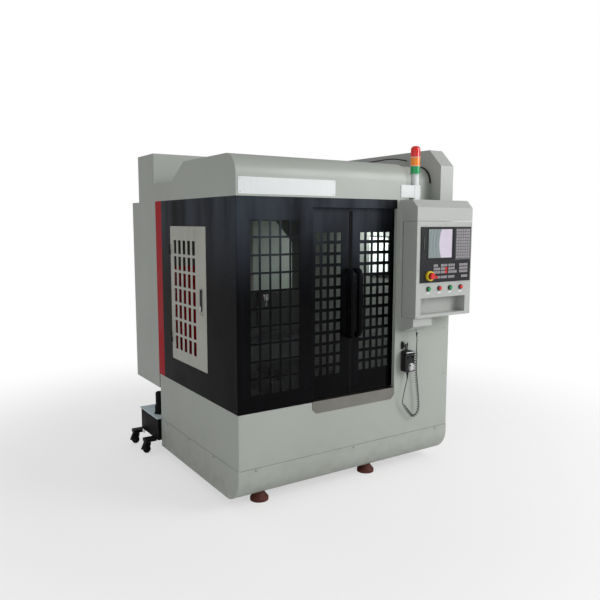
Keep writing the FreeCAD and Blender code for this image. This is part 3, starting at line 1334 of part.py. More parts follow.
def tube(path, radius):
    """A round tube along a path of runs and arcs."""
    start = path.Edges[0].Vertexes[0].Point
    way = path.Edges[0].Vertexes[-1].Point - start
    section = Part.Wire([Part.Circle(start, way, radius).toShape()])
    solid = path.makePipeShell([section], True, False)
    radii = [edge.Curve.Radius for edge in path.Edges if hasattr(edge.Curve, "Radius")]
    print("tube", round(path.Length), "mm long, tightest bend", round(min(radii), 1),
          "volume ratio", round(solid.Volume / (math.pi * radius ** 2 * path.Length), 4))
    return solid


def new_cord(name, shape):
    """A piece whose shape is set straight from the route."""
    feature = doc.addObject("Part::Feature", name)
    feature.Label = name
    feature.Shape = shape
    feature.Placement = FreeCAD.Placement(Vector(-size("origin_x"), -size("origin_y"), 0),
                                          FreeCAD.Rotation())
    pieces.append(feature)


# The pendant cord's route: the first two rows from its gland, the last from its socket.
LEAD_IN = ((0, 0, 0), (0, 0, -20), (7, 5, -44), (12, 10, -69))
CURLED = ((15, 16, -122), (19, 24, -182), (24, 28, -242), (31, 30, -302), (40, 31, -362),
          (49, 31, -422), (57, 31, -482), (55, 31, -533), (32, 31, -562), (-1, 31, -556),
          (-40, 31, -512), (-78, 31, -467))
LEAD_OUT = ((-40, -1.5, -178), (-36, -1.5, -158), (-27, -1.5, -114), (-14, -1, -70),
            (0, 0, -30), (0, 0, 0))


def pendant_cord():
    """The pendant's curly cord: curls between two straight leads, one unbroken tube."""
    gland = Vector(size("gland_x"), size("gland_y"), size("gland_low"))
    socket = Vector(size("pendant_x"), size("(pendant_back + pendant_face) / 2"),
                    size("pendant_low - gland_depth"))
    lead_in = [gland + Vector(*step) for step in LEAD_IN]
    curled = [gland + Vector(*step) for step in CURLED]
    lead_out = [socket + Vector(*step) for step in LEAD_OUT]
    edges = rounded_path(lead_in + curled + lead_out)
    radii = [round(edge.Curve.Radius) for edge in edges[1::2]]
    print("pendant cord's route radii", radii)
    begin = 2 * (len(lead_in) - 1)
    end = len(edges) - 2 * (len(lead_out) - 1) - 1
    guide = Part.Wire(edges[begin:end])
    points = curls_round(guide, int(size("curl_count")), size("curl_radius"))
    first_way = edges[begin].Vertexes[-1].Point - edges[begin].Vertexes[0].Point
    last_way = edges[end].Vertexes[-1].Point - edges[end].Vertexes[0].Point
    curls = wound_arcs(points, first_way.normalize(), last_way.normalize())
    path = Part.Wire(edges[:begin] + curls + edges[end:])
    print("pendant cord's least gap to itself", round(least_gap(path, size("lead_radius")), 1))
    new_cord("pendant_cord", tube(path, size("lead_radius")))


# The tower cable's route: the first row from its gland, the last from its landing.
CABLE_OUT = ((0, 0, 0), (-30, 0, 0), (-85, 4, 6), (-140, 9, 3), (-195, 13, -6),
             (-248, 17, -17))
CABLE_DOWN = ((48, 0, 31), (8, 0, 26), (0, 0, 14), (0, 0, 0))


def tower_cable():
    """The signal tower's cable, from the top cover's gland to the hood."""
    gland = Vector(size("cover_left - gland_depth / 2"), size("cable_y"),
                   size("panel_top + cable_rise"))
    landing = Vector(size("enclosure_width - landing_in"), size("cable_y + landing_back"),
                     size("hood_top"))
    points = [gland + Vector(*step) for step in CABLE_OUT]
    points += [landing + Vector(*step) for step in CABLE_DOWN]
    new_cord("tower_cable", tube(Part.Wire(rounded_path(points)), size("cable_radius")))


# ---------------------------------------------------------------- the machine
levelling_feet()
lower_skirt()
base_casing()
chip_pan()
sill_plate()
fixed_window_panel()
fixed_window_pane()
door_header()
left_side_panel()
right_front_panel()
right_side_panel()
inner_right_wall()
rear_partition()
hood()
right_hood()
right_top_cover()
rear_top_box()
rear_cabinet()
cabinet_door()
sliding_doors()
side_door_leaf()
side_door_latch()
console_bracket()
console_box()
display_unit()
console_keys()
emergency_stop()
for order, colour in enumerate(("first_green", "first_red", "second_green", "second_red")):
    push_button(colour + "_button", order)
signal_tower_base()
tower_lens("green_lens", "", "green_height")
tower_lens("amber_lens", " + green_height", "amber_height")
tower_lens("red_lens", " + green_height + amber_height", "red_height", "lens_radius * 0.7")
pendant_body()
pendant_handwheel()
selector_knob("axis_knob", KNOB_SPOTS[1])
selector_knob("rate_knob", KNOB_SPOTS[2])
machine_bed()
machine_column()
saddle()
work_table()
spindle_head()
head_cover()
spindle()
coolant_tank()
coolant_pump()
casters()
pendant_cord()
tower_cable()

# ---------------------------------------------------------------- tests and files
doc.recompute()
for item in doc.Objects:
    if "Invalid" in item.State or "Error" in item.State:
        raise RuntimeError("%s failed: %s" % (item.Name, item.State))
for item in doc.Objects:
    if item.TypeId == "PartDesign::Pocket" and item.BaseFeature:
        if item.Shape.Volume > item.BaseFeature.Shape.Volume - 1e-6:
            raise RuntimeError("%s cuts nothing" % item.Name)
for piece in pieces:
    if piece.Shape.isNull() or not piece.Shape.isValid() or not piece.Shape.Solids:
        raise RuntimeError("%s has no sound solid" % piece.Label)
for piece in pieces:
    piece.Shape.exportStep("parts/%s.step" % piece.Label)
print(len(pieces), "pieces written")
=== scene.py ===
"""Looks of a CNC machining center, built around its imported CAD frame.

A point is given in metres from the casing's front left corner on the floor:
x runs to the right along the front, y runs back and z runs up.
"""

import math

import bmesh
import bpy
from mathutils import Matrix, Vector


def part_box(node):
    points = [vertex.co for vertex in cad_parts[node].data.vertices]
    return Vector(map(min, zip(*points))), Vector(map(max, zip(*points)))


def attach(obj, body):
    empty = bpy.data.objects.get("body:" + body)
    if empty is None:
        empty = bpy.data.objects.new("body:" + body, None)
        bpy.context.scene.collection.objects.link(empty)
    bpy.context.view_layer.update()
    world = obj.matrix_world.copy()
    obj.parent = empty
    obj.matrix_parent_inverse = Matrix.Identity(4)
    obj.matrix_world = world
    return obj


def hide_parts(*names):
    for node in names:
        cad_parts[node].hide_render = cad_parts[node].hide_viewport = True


bl_info = {
    "name": "CNC machining center",
    "version": (1, 0, 0),
    "blender": (4, 5, 0),
    "location": "View3D > Sidebar > Machine",
    "description": "Trim, fittings, cords and finishes of a CNC machining center",
    "category": "Object",
}

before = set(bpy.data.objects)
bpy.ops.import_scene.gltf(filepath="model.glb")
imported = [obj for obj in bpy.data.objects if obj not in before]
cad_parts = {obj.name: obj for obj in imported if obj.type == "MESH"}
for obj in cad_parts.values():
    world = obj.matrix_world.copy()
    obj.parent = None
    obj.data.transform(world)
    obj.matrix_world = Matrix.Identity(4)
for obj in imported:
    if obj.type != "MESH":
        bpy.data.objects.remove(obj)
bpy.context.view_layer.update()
CORNER = Vector((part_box("base_casing")[0].x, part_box("base_casing")[0].y, 0))
FULL_TURN = 2 * math.pi
LEFT, RIGHT, FRONT, BACK, DOWN = (
    Vector(way) for way in ((-1, 0, 0), (1, 0, 0), (0, -1, 0), (0, 1, 0), (0, 0, -1)))


def tone(*rgb):
    """A colour as it looks on a screen, 0 to 255 each, in the renderer's own numbers."""
    def straight(value):
        value /= 255
        return value / 12.92 if value <= 0.04045 else ((value + 0.055) / 1.055) ** 2.4
    return tuple(straight(value) for value in rgb)


def colour(label, note, *rgb):
    """A colour that a user may change."""
    return bpy.props.FloatVectorProperty(
        name=label, description=note, subtype="COLOR", size=3, min=0, max=1,
        default=tone(*rgb))


def length(label, note, value):
    """A size in metres that a user may change."""
    return bpy.props.FloatProperty(
        name=label, description=note, subtype="DISTANCE", unit="LENGTH", min=0,
        default=value)


class MachinePaints(bpy.types.PropertyGroup):
    """Colours of the machine's paints, plastics and metals."""
    casing: colour("Casing", "Paint of the casing", 166, 171, 164)
    doors: colour("Doors", "Paint of the doors and window frames", 6, 6, 8)
    # Paler than the casing's paint: this paleness is painted light, as the console and right
    # cover are more brightly lit.
    console: colour("Console", "Paint of the console and the right cover", 176, 179, 175)
    # Dark enough to stand as painted shade inside the closed enclosure.
    inner: colour("Inner sheets", "Paint of the sheets inside", 50, 52, 50)
    stripe: colour("Stripe", "Paint of the upright stripe", 166, 8, 26)
    side_door: colour("Side door", "Paint of the slotted side door", 176, 176, 168)
    castings: colour("Castings", "Paint of the machine's castings", 58, 60, 57)
    tank: colour("Tank", "Paint of the coolant tank", 13, 13, 15)
    # The lid's own pale paint, made paler still as a painted reflection of light on the tank's
    # top.
    tank_lid_sheen: colour("Tank lid", "Paint of the coolant tank's lid", 214, 228, 236)
    feet: colour("Feet", "Primer on the levelling feet", 90, 38, 28)
    steel: colour("Steel", "Ground and polished steel", 198, 198, 200)
    sheet: colour("Bright sheet", "Brushed stainless sheet", 132, 130, 124)
    zinc: colour("Zinc", "Zinc plated parts", 168, 170, 172)
    panel: colour("Control panel", "Plastic of the control panel", 22, 23, 27)
    keys: colour("Keys", "Plastic of the keys", 142, 138, 142)
    pendant: colour("Pendant", "Plastic of the hand pendant", 10, 10, 11)
    rubber: colour("Rubber", "Rubber of cords, seals and wheels", 24, 24, 25)
    red: colour("Red", "Red buttons and lamp", 214, 32, 30)
    green: colour("Green", "Green buttons and lamp", 16, 150, 84)
    amber: colour("Amber", "Amber lamp", 236, 132, 30)
    yellow: colour("Yellow", "Ring of the stop button", 226, 196, 40)
    white: colour("White", "White plates and plastic", 222, 226, 226)


class MachineSizes(bpy.types.PropertyGroup):
    """Sizes of the fittings that the frame doesn't hold."""
    screw_radius: length("Screw radius", "Radius of a casing screw's head", 0.006)
    screw_rise: length("Screw rise", "Height of a casing screw's head", 0.003)
    seam: length("Seam", "Width of a dark line between two sheets", 0.0016)
    wire: length("Curly wire", "Diameter of the pendant cord's wire", 0.005)
    curl: length("Curl radius", "Radius of the pendant cord's curls", 0.007)
    curls: bpy.props.IntProperty(
        name="Curls", description="Number of curls in the pendant cord", default=36, min=1)
    cable: length("Cable", "Diameter of the signal tower's cable", 0.008)


def paints():
    """The machine's colours, as they are set now."""
    return bpy.context.scene.machine_paints


def sizes():
    """The fittings' sizes, as they are set now."""
    return bpy.context.scene.machine_sizes


# ---------------------------------------------------------------- places and meshes

SAME_PLACE = 1e-6
SHARP_ANGLE = math.radians(35)


def at(x, y, z):
    """A point of the frame, from its place behind the casing's front left corner."""
    return CORNER + Vector((x, y, z))


def corners(name):
    """The low and high corners of a part's box, as places behind the casing's corner."""
    return [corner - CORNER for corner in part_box(name)]


def facing(place, way):
    """The placing of a piece made upright at the origin: moved to place, its top to way."""
    return Matrix.Translation(place) @ way.to_track_quat("Z", "Y").to_matrix().to_4x4()


def block(bm, place, size, turn=Matrix.Identity(4)):
    """A plain block, turned about its middle."""
    bmesh.ops.create_cube(bm, size=1, matrix=Matrix.Translation(place) @ turn
                          @ Matrix.Diagonal((*size, 1)))


def since(bm, before):
    """The vertices that were made after a shape had that many of them."""
    bm.verts.ensure_lookup_table()
    return bm.verts[before:]


def soften(bm, made, edge):
    """Round the edges between the vertices that were made."""
    bmesh.ops.bevel(bm, geom=list({e for v in made for e in v.link_edges}), offset=edge,
                    segments=2, profile=0.5, affect="EDGES", material=-1)


def thicken(bm, faces, shift):
    """Draw faces out into a solid."""
    grown = bmesh.ops.extrude_face_region(bm, geom=faces)["geom"]
    bmesh.ops.translate(bm, vec=shift,
                        verts=[v for v in grown if isinstance(v, bmesh.types.BMVert)])


def plate(bm, low, high, edge=0.0):
    """A flat piece between two corners, with its edges rounded."""
    low, high = Vector(low), Vector(high)
    before = len(bm.verts)
    block(bm, (low + high) / 2, high - low)
    if edge:
        soften(bm, since(bm, before), edge)


def piece(name, bm, slot, finish=None, body="machine"):
    """A finished mesh as a piece of the machine that rides on a body.

    Its material is the one called finish, or the one called like its slot.
    """
    bmesh.ops.remove_doubles(bm, verts=bm.verts, dist=SAME_PLACE)
    bmesh.ops.recalc_face_normals(bm, faces=bm.faces)
    bmesh.ops.translate(bm, vec=CORNER, verts=bm.verts)
    mesh = bpy.data.meshes.new(name)
    bm.to_mesh(mesh)
    bm.free()
    mesh.materials.append(material(finish or slot))
    mesh.shade_smooth()
    mesh.set_sharp_from_angle(angle=SHARP_ANGLE)
    made = bpy.data.objects.new(name, mesh)
    bpy.context.scene.collection.objects.link(made)
    flat = made.modifiers.new("flat_faces", "WEIGHTED_NORMAL")
    flat.keep_sharp = True
    flat.weight = 100
    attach(made, body)
    return made


def plates(name, rows, slot, finish=None, body="machine"):
    """A piece made of plates, each given by its corners and, where it has one, its edge."""
    bm = bmesh.new()
    for row in rows:
        plate(bm, *row)
    return piece(name, bm, slot, finish, body)


def shifted(x, y, z, rows):
    """The rows of plates that are given about the origin, moved to a place."""
    return [(*((x + i, y + j, z + k) for i, j, k in ends), edge) for *ends, edge in rows]


def turnings(name, rows, slot, finish=None, body="machine"):
    """A piece made of turned parts, each given by its half outline, placing and steps.

    A half outline is (radius, height) pairs, and is spun once round.
    """
    bm = bmesh.new()
    for outline, place, steps in rows:
        before = len(bm.verts)
        points = [bm.verts.new((radius, 0, up)) for radius, up in outline]
        edges = [bm.edges.new(pair) for pair in zip(points, points[1:])]
        bmesh.ops.spin(bm, geom=points + edges, cent=(0, 0, 0), axis=(0, 0, 1),
                       angle=FULL_TURN, steps=steps, use_merge=True)
        bmesh.ops.transform(bm, matrix=place, verts=since(bm, before))
    piece(name, bm, slot, finish, body)


def screws(name, rows, body="machine"):
    """A piece made of pan-head screws: each one's place, way, radius and height."""
    turnings(name, [([(radius, 0), (radius, rise * 0.5), (radius * 0.75, rise),
                      (radius * 0.42, rise), (radius * 0.38, rise * 0.3), (0, rise * 0.3)],
                     facing(place, way), 10) for place, way, radius, rise in rows],
             "zinc_plate", body=body)


def front_screws(face, across, heights, head):
    """The rows of screws on an upright face: one at each height, at each place across."""
    return [((x, face, z), FRONT, *head) for x in across for z in heights]


def rim(name, low, high, slot, finish, body):
    """A thin wall along the edges of a flat box, whose two flat sides stay open."""
    low, high = Vector(low), Vector(high)
    bm = bmesh.new()
    block(bm, (low + high) / 2, high - low)
    thin = min(range(3), key=lambda axis: high[axis] - low[axis])
    flat = [face for face in bm.faces if len({v.co[thin] for v in face.verts}) == 1]
    bmesh.ops.delete(bm, geom=flat, context="FACES_ONLY")
    piece(name, bm, slot, finish, body)


# ------------------------------------------------------------------- node helpers

MIX_SHARE, MIX_FIRST, MIX_SECOND, MIX_COLOUR = 0, 6, 7, 2


def add(tree, kind, settings=(), **values):
    """A node whose inputs take a value, or a link from another node's output."""
    made = tree.nodes.new("ShaderNode" + kind)
    for name, value in dict(settings).items():
        setattr(made, name, value)
    for name, value in values.items():
        feed(tree, made.inputs[name.replace("_", " ")], value)
    return made


def feed(tree, socket, value):
    """Give a socket a plain value or another node's output."""
    if isinstance(value, bpy.types.NodeSocket):
        tree.links.new(value, socket)
    else:
        socket.default_value = value


def maths(tree, operation, *values, clamp=False):
    """A sum of one to three values."""
    made = add(tree, "Math", {"operation": operation, "use_clamp": clamp})
    for socket, value in zip(made.inputs, values):
        feed(tree, socket, value)
    return made.outputs[0]


def vectors(tree, operation, *values):
    """A sum of one or two vectors, as its node."""
    made = add(tree, "VectorMath", {"operation": operation})
    for socket, value in zip(made.inputs, values):
        feed(tree, socket, value)
    return made


def mixed(tree, share, first, second):
    """Two colours, mixed by a share."""
    made = add(tree, "Mix", {"data_type": "RGBA"})
    for index, value in ((MIX_SHARE, share), (MIX_FIRST, first), (MIX_SECOND, second)):
        feed(tree, made.inputs[index], value)
    return made.outputs[MIX_COLOUR]


def spread(tree, value, low, high, to_low=0.0, to_high=1.0):
    """A value taken from one span to another, smoothly, and held at its ends."""
    made = add(tree, "MapRange", {"interpolation_type": "SMOOTHSTEP"})
    for socket, number in zip(made.inputs, (value, low, high, to_low, to_high)):
        feed(tree, socket, number)
    return made.outputs[0]


def noise(tree, vector, scale, detail=3.0):
    """Soft cloudy noise, as a number from 0 to 1."""
    return add(tree, "TexNoise", Vector=vector, Scale=scale, Detail=detail,
               Roughness=0.55).outputs["Fac"]


def stretched(tree, *scale):
    """Object coordinates, stretched along the axes where a scale is given."""
    place = add(tree, "TexCoord").outputs["Object"]
    return add(tree, "Mapping", Vector=place, Scale=scale or (1, 1, 1)).outputs[0]


def height(tree):
    """The height above the floor."""
    return add(tree, "SeparateXYZ", Vector=stretched(tree)).outputs["Z"]


def effect(name, output, kind="NodeSocketFloat", **inputs):
    """A shader node group with named inputs, numbers and colours, and one output."""
    tree = bpy.data.node_groups.new(name, "ShaderNodeTree")
    for label, value in inputs.items():
        flat = isinstance(value, float)
        socket = tree.interface.new_socket(
            label, in_out="INPUT",
            socket_type="NodeSocketFloat" if flat else "NodeSocketColor")
        socket.default_value = value
    tree.interface.new_socket(output, in_out="OUTPUT", socket_type=kind)
    ends = tree.nodes.new("NodeGroupInput"), tree.nodes.new("NodeGroupOutput")
    return tree, ends[0].outputs, ends[1].inputs[0]


def use(tree, make, **values):
    """A shared effect placed in a material with its own values."""
    return add(tree, "Group", {"node_tree": make()}, **values).outputs[0]


def kept(make):
    """Build a group or a material once, and hand out the same one after that."""
    held = {}

    def once(*chosen):
        if chosen not in held:
            held[chosen] = make(*chosen)
        return held[chosen]
    return once


# ------------------------------------------------------------------ shared effects

@kept
def cloudy_colour():
    """A colour that wanders a little lighter and darker over the surface."""
    tree, given, out = effect("cloudy_colour", "Color", "NodeSocketColor",
                              Color=(0.5, 0.5, 0.5, 1), Scale=3.0, Depth=0.06)
    place = stretched(tree)
    cloud = noise(tree, place, given["Scale"])
    grain = noise(tree, place, maths(tree, "MULTIPLY", given["Scale"], 90.0))
    both = maths(tree, "MULTIPLY_ADD", grain, 0.35, cloud)
    drift = maths(tree, "MULTIPLY", maths(tree, "SUBTRACT", both, 0.675), given["Depth"])
    scaled = vectors(tree, "SCALE", given["Color"])
    feed(tree, scaled.inputs["Scale"], maths(tree, "MULTIPLY_ADD", drift, 4.0, 1.0))
    feed(tree, out, scaled.outputs[0])
    return tree


@kept
def edge_wear():
    """How far a paint is rubbed through on the edges."""
    tree, given, out = effect("edge_wear", "Mask", Width=0.002, Amount=0.5)
    rounded = add(tree, "Bevel", {"samples": 4}, Radius=given["Width"]).outputs[0]
    true = add(tree, "NewGeometry").outputs["Normal"]
    dot = vectors(tree, "DOT_PRODUCT", rounded, true).outputs["Value"]
    patch = spread(tree, noise(tree, stretched(tree), 60.0, 6.0), 0.42, 0.62)
    edge = maths(tree, "MULTIPLY", maths(tree, "SUBTRACT", 1.0, dot), patch)
    worn = maths(tree, "MULTIPLY", edge, 9.0)
    feed(tree, out, maths(tree, "MULTIPLY", worn, given["Amount"], clamp=True))
    return tree


@kept
def low_fade():
    """A mask in patches, strongest at the floor and thinning out upwards."""
    tree, given, out = effect("low_fade", "Mask", Top=0.5, Amount=0.3)
    low = spread(tree, height(tree), 0.0, given["Top"], 1.0, 0.0)
    patch = spread(tree, noise(tree, stretched(tree), 14.0, 6.0), 0.35, 0.75)
    both = maths(tree, "MULTIPLY", low, patch)
    feed(tree, out, maths(tree, "MULTIPLY", both, given["Amount"], clamp=True))
    return tree


@kept
def run_marks():
    """Faint upright streaks, as wiping and running coolant leave them."""
    tree, given, out = effect("run_marks", "Mask", Amount=0.3)
    streak = noise(tree, stretched(tree, 26, 26, 1.6), 1.0, 5.0)
    smear = noise(tree, stretched(tree), 4.0, 4.0)
    both = maths(tree, "MULTIPLY", spread(tree, streak, 0.45, 0.75),
                 spread(tree, smear, 0.35, 0.7))
    feed(tree, out, maths(tree, "MULTIPLY", both, given["Amount"], clamp=True))
    return tree


@kept
def upper_sheen():
    """A painted reflection of bright surroundings, in broad pale patches from chest height
    upwards.
    """
    tree, given, out = effect("upper_sheen", "Mask", Low=1.15, High=1.75)
    patch = spread(tree, noise(tree, stretched(tree, 3, 3, 0.7), 1.4), 0.28, 0.68)
    rise = spread(tree, height(tree), given["Low"], given["High"])
    feed(tree, out, maths(tree, "MULTIPLY", rise, patch))
    return tree


@kept
def orange_peel():
    """The fine dimples of sprayed paint and moulded plastic."""
    tree, given, out = effect("orange_peel", "Height", Scale=450.0)
    place = stretched(tree)
    fine = noise(tree, place, given["Scale"], 2.0)
    wave = noise(tree, place, maths(tree, "MULTIPLY", given["Scale"], 0.02), 2.0)
    feed(tree, out, maths(tree, "MULTIPLY_ADD", wave, 0.6, fine))
    return tree


@kept
def brushing():
    """Long fine scratches, laid along the frame's x axis."""
    tree, given, out = effect("brushing", "Height", Scale=900.0)
    feed(tree, out, noise(tree, stretched(tree, 0.02, 1, 1), given["Scale"], 4.0))
    return tree


@kept
def cast_skin():
    """The pitted, lumpy skin of a casting."""
    tree, given, out = effect("cast_skin", "Height", Scale=160.0)
    place = stretched(tree)
    pits = add(tree, "TexVoronoi", Vector=place, Scale=given["Scale"]).outputs["Distance"]
    lumps = noise(tree, place, maths(tree, "MULTIPLY", given["Scale"], 0.15), 5.0)
    feed(tree, out, maths(tree, "MULTIPLY_ADD", lumps, 1.6, pits))
    return tree


# --------------------------------------------------------------- how surfaces are made

def solid(rgb):
    """A colour with its alpha."""
    return (*rgb, 1.0)


def principled(tree):
    """A material's surface shader."""
    return next(node for node in tree.nodes if node.type == "BSDF_PRINCIPLED")


def surface(name):
    """A new material, its node tree and its surface shader."""
    made = bpy.data.materials.new(name)
    made.use_nodes = True
    return made, made.node_tree, principled(made.node_tree)


def varied(tree, shader, base, swing, scale):
    """A roughness that differs from patch to patch."""
    cloud = noise(tree, stretched(tree), scale, 4.0)
    feed(tree, shader.inputs["Roughness"],
         spread(tree, cloud, 0.3, 0.7, base - swing, base + swing))


def coated(name, rgb, cloud, layers, rough, skin=None, **values):
    """A material: a clouded colour under thin layers, with a relief and a varied roughness.

    cloud is the clouds' scale and depth. Each layer is an effect, its values and the
    colour that it lets through. rough is the roughness, its swing and the scale of its
    patches. skin is an effect, its scale, its strength and its depth. The rest are
    values of the surface shader.
    """
    made, tree, shader = surface(name)
    shade = use(tree, cloudy_colour, Color=solid(rgb), Scale=cloud[0], Depth=cloud[1])
    for mask, given, through in layers:
        shade = mixed(tree, use(tree, mask, **given), shade, solid(through))
    feed(tree, shader.inputs["Base Color"], shade)
    if rough:
        varied(tree, shader, *rough)
    if skin:
        pattern, scale, strength, depth = skin
        bump = add(tree, "Bump", Height=use(tree, pattern, Scale=scale), Strength=strength,
                   Distance=depth)
        feed(tree, shader.inputs["Normal"], bump.outputs[0])
    for label, value in values.items():
        shader.inputs[label.replace("_", " ")].default_value = value
    return made


def worn(width, amount, through):
    """A layer rubbed through on the edges."""
    return edge_wear, {"Width": width, "Amount": amount}, through


def low_layer(top, amount, through):
    """A layer that thins out upwards from the floor, up to a height."""
    return low_fade, {"Top": top, "Amount": amount}, through


def streaked(amount, through):
    """A layer of upright streaks."""
    return run_marks, {"Amount": amount}, through


def glowing(made, strength):
    """A material that also gives off its own colour."""
    shader = principled(made.node_tree)
    own = shader.inputs["Base Color"].links[0].from_socket
    feed(made.node_tree, shader.inputs["Emission Color"], own)
    shader.inputs["Emission Strength"].default_value = strength
    return made


# ----------------------------------------------------------------------- materials

LID_HEIGHT = 0.2515
SCREEN_FACE = -0.155
ARC_CENTRE, ARC_RADIUS, ARC_BLUR, ARC_STEP = (1.542, SCREEN_FACE, 1.501), 0.206, 0.010, 0.026

# Bare metals: colour, roughness, scale of the scratches and their strength.
METALS = {
    "bright_sheet": ("sheet", 0.36, 700.0, 0.35),
    "dull_steel": (tone(104, 104, 106), 0.42, 900.0, 0.2),
    "tool_steel": ("steel", 0.16, 2400.0, 0.08),
    "zinc_plate": ("zinc", 0.42, 500.0, 0.12),
    "wheel_metal": ("steel", 0.26, 1600.0, 0.15),
}
# Moulded plastics: colour, roughness, scale of the grain, its strength, coat and shine.
PLASTICS = {
    "panel_plastic": ("panel", 0.5, 1100.0, 0.35, 0.0, 0.3),
    "keypad_grey": (tone(84, 86, 90), 0.5, 900.0, 0.2, 0.0, 0.5),
    "key_plastic": ("keys", 0.42, 900.0, 0.2, 0.0, 0.5),
    "pendant_plastic": ("pendant", 0.48, 1000.0, 0.35, 0.0, 0.35),
    "white_plastic": ("white", 0.4, 900.0, 0.2, 0.0, 0.5),
    "red_plastic": ("red", 0.28, 700.0, 0.08, 0.4, 0.5),
    "green_plastic": ("green", 0.28, 700.0, 0.08, 0.4, 0.5),
    "yellow_plastic": ("yellow", 0.35, 800.0, 0.12, 0.2, 0.5),
    "black_trim": ("rubber", 0.4, 900.0, 0.2, 0.0, 0.3),
    # Near black, darker than plain rubber: on the meeting seals this is partly painted shade of
    # the gap between the door leaves.
    "seal_rubber": (tone(9, 9, 10), 0.6, 1200.0, 0.25, 0.0, 0.1),
}
# Lamp plastics: colour.
LENSES = {"red_lens": ("red",), "amber_lens": ("amber",), "green_lens": ("green",)}
# Pale satin paints: colour.
SATIN_PAINTS = {"casing_paint": ("casing",), "console_lit_paint": ("console",)}


def metal(name, rgb, roughness, scratches, depth):
    """Bare metal with fine scratches and cloudy oil marks."""
    return coated(name, rgb, (9.0, 0.06), [], (roughness, 0.07, 12.0),
                  (brushing, scratches, depth, 0.0004), Metallic=1.0)


def moulded(name, rgb, roughness, grain, depth, coat, shine):
    """Moulded plastic with a fine grain and slightly rubbed edges."""
    lighter = [0.75 * value + 0.12 for value in rgb]
    return coated(name, rgb, (14.0, 0.05), [worn(0.0008, 0.4, lighter)],
                  (roughness, 0.05, 25.0), (orange_peel, grain, depth, 0.0004),
                  Coat_Weight=coat, Specular_IOR_Level=shine)


def lamp_lens(name, rgb):
    """Coloured lamp plastic, slightly lit from within."""
    return glowing(coated(name, rgb, (20.0, 0.05), [], (0.2, 0.04, 25.0),
                          (orange_peel, 260.0, 0.12, 0.0006), Coat_Weight=0.5), 0.12)


def satin_paint(name, rgb):
    """Pale satin paint with soft clouds, a darker tone near the floor that is both dust and
    painted shade, and worn edges.
    """
    # The low layer darkens towards the floor: dust and painted shade.
    return coated(name, rgb, (2.2, 0.035),
                  [low_layer(0.42, 0.35, tone(120, 116, 104)),
                   worn(0.0025, 0.5, tone(205, 207, 200))],
                  (0.42, 0.05, 3.0), (orange_peel, 420.0, 0.12, 0.0006),
                  Coat_Weight=0.15, Coat_Roughness=0.3)


def door_paint(name):
    """Black satin paint with a painted pale sheen on its upper part, wiped smears and grey
    edges.
    """
    # The chest-height layer is painted reflection: a pale bluish sheen over the upper doors.
    return coated(name, paints().doors, (3.0, 0.12),
                  [(upper_sheen, {}, tone(58, 63, 71)), streaked(0.14, tone(44, 46, 54)),
                   worn(0.002, 0.5, tone(66, 66, 70))],
                  (0.26, 0.08, 5.0), (orange_peel, 520.0, 0.12, 0.0006),
                  Specular_IOR_Level=0.05)


def stripe_paint(name):
    """Deep red satin paint."""
    return coated(name, paints().stripe, (4.0, 0.06),
                  [worn(0.002, 0.4, tone(196, 110, 112))], (0.4, 0.06, 4.0),
                  (orange_peel, 480.0, 0.14, 0.0006), Specular_IOR_Level=0.1)


def side_door_paint(name):
    """Warm grey paint, streaked and worn on its edges."""
    return coated(name, paints().side_door, (3.5, 0.05),
                  [streaked(0.25, tone(104, 100, 88)), worn(0.002, 0.5, tone(206, 206, 198))],
                  (0.45, 0.06, 4.0), (orange_peel, 450.0, 0.14, 0.0006))


def caster_paint(name):
    """Black paint, dusty and chipped."""
    return coated(name, paints().tank, (6.0, 0.12),
                  [low_layer(0.3, 0.12, tone(80, 76, 70)), worn(0.003, 0.6, tone(110, 110, 112))],
                  (0.5, 0.08, 7.0), (orange_peel, 380.0, 0.2, 0.0008),
                  Specular_IOR_Level=0.12)


def tank_paint(name):
    """The casters' black paint, with a pale lid above it whose paleness is partly a painted
    reflection of light.
    """
    made = caster_paint(name)
    tree = made.node_tree
    base = principled(tree).inputs["Base Color"]
    lid = use(tree, cloudy_colour, Color=solid(paints().tank_lid_sheen), Scale=5.0, Depth=0.08)
    dull = mixed(tree, use(tree, run_marks, Amount=0.4), lid, solid(tone(96, 98, 98)))
    above = maths(tree, "GREATER_THAN", height(tree), LID_HEIGHT)
    feed(tree, base, mixed(tree, above, base.links[0].from_socket, dull))
    return made


def casting_paint(name):
    """Thick grey-green machine paint over a rough casting."""
    return coated(name, paints().castings, (5.0, 0.09),
                  [worn(0.003, 0.6, tone(86, 82, 76))], (0.5, 0.08, 6.0),
                  (cast_skin, 170.0, 0.3, 0.0012))


def foot_primer(name):
    """Rough brown primer on cast feet."""
    return coated(name, paints().feet, (22.0, 0.14),
                  [worn(0.004, 0.8, tone(70, 52, 46))], (0.62, 0.1, 20.0),
                  (cast_skin, 260.0, 0.6, 0.0015))


def rubber(name):
    """Dull black rubber, dusty in patches."""
    return coated(name, paints().rubber, (18.0, 0.15),
                  [streaked(0.12, tone(110, 108, 104))], (0.62, 0.1, 30.0),
                  (orange_peel, 1400.0, 0.25, 0.0004), Specular_IOR_Level=0.3)


def gap_shadow(name):
    """The painted shadow inside a gap between two sheets."""
    return coated(name, tone(70, 72, 68), (8.0, 0.1), [], (0.7, 0.05, 10.0))


def sign_white(name):
    """White plate with a satin sheen and a few smudges."""
    return coated(name, paints().white, (6.0, 0.03), [streaked(0.15, tone(160, 160, 156))],
                  (0.35, 0.06, 9.0))


def liner_shade_paint(name):
    """Dark grey paint of the liner sheets inside, its darkness painted shade of the closed
    enclosure, marked by coolant.
    """
    return coated(name, paints().inner, (4.0, 0.1), [streaked(0.5, tone(58, 54, 48))],
                  (0.45, 0.08, 6.0), (orange_peel, 450.0, 0.12, 0.0006))


def lamp_glow(name):
    """The frosted front of the work lamp."""
    return glowing(coated(name, tone(244, 248, 246), (8.0, 0.03), [], None), 0.9)


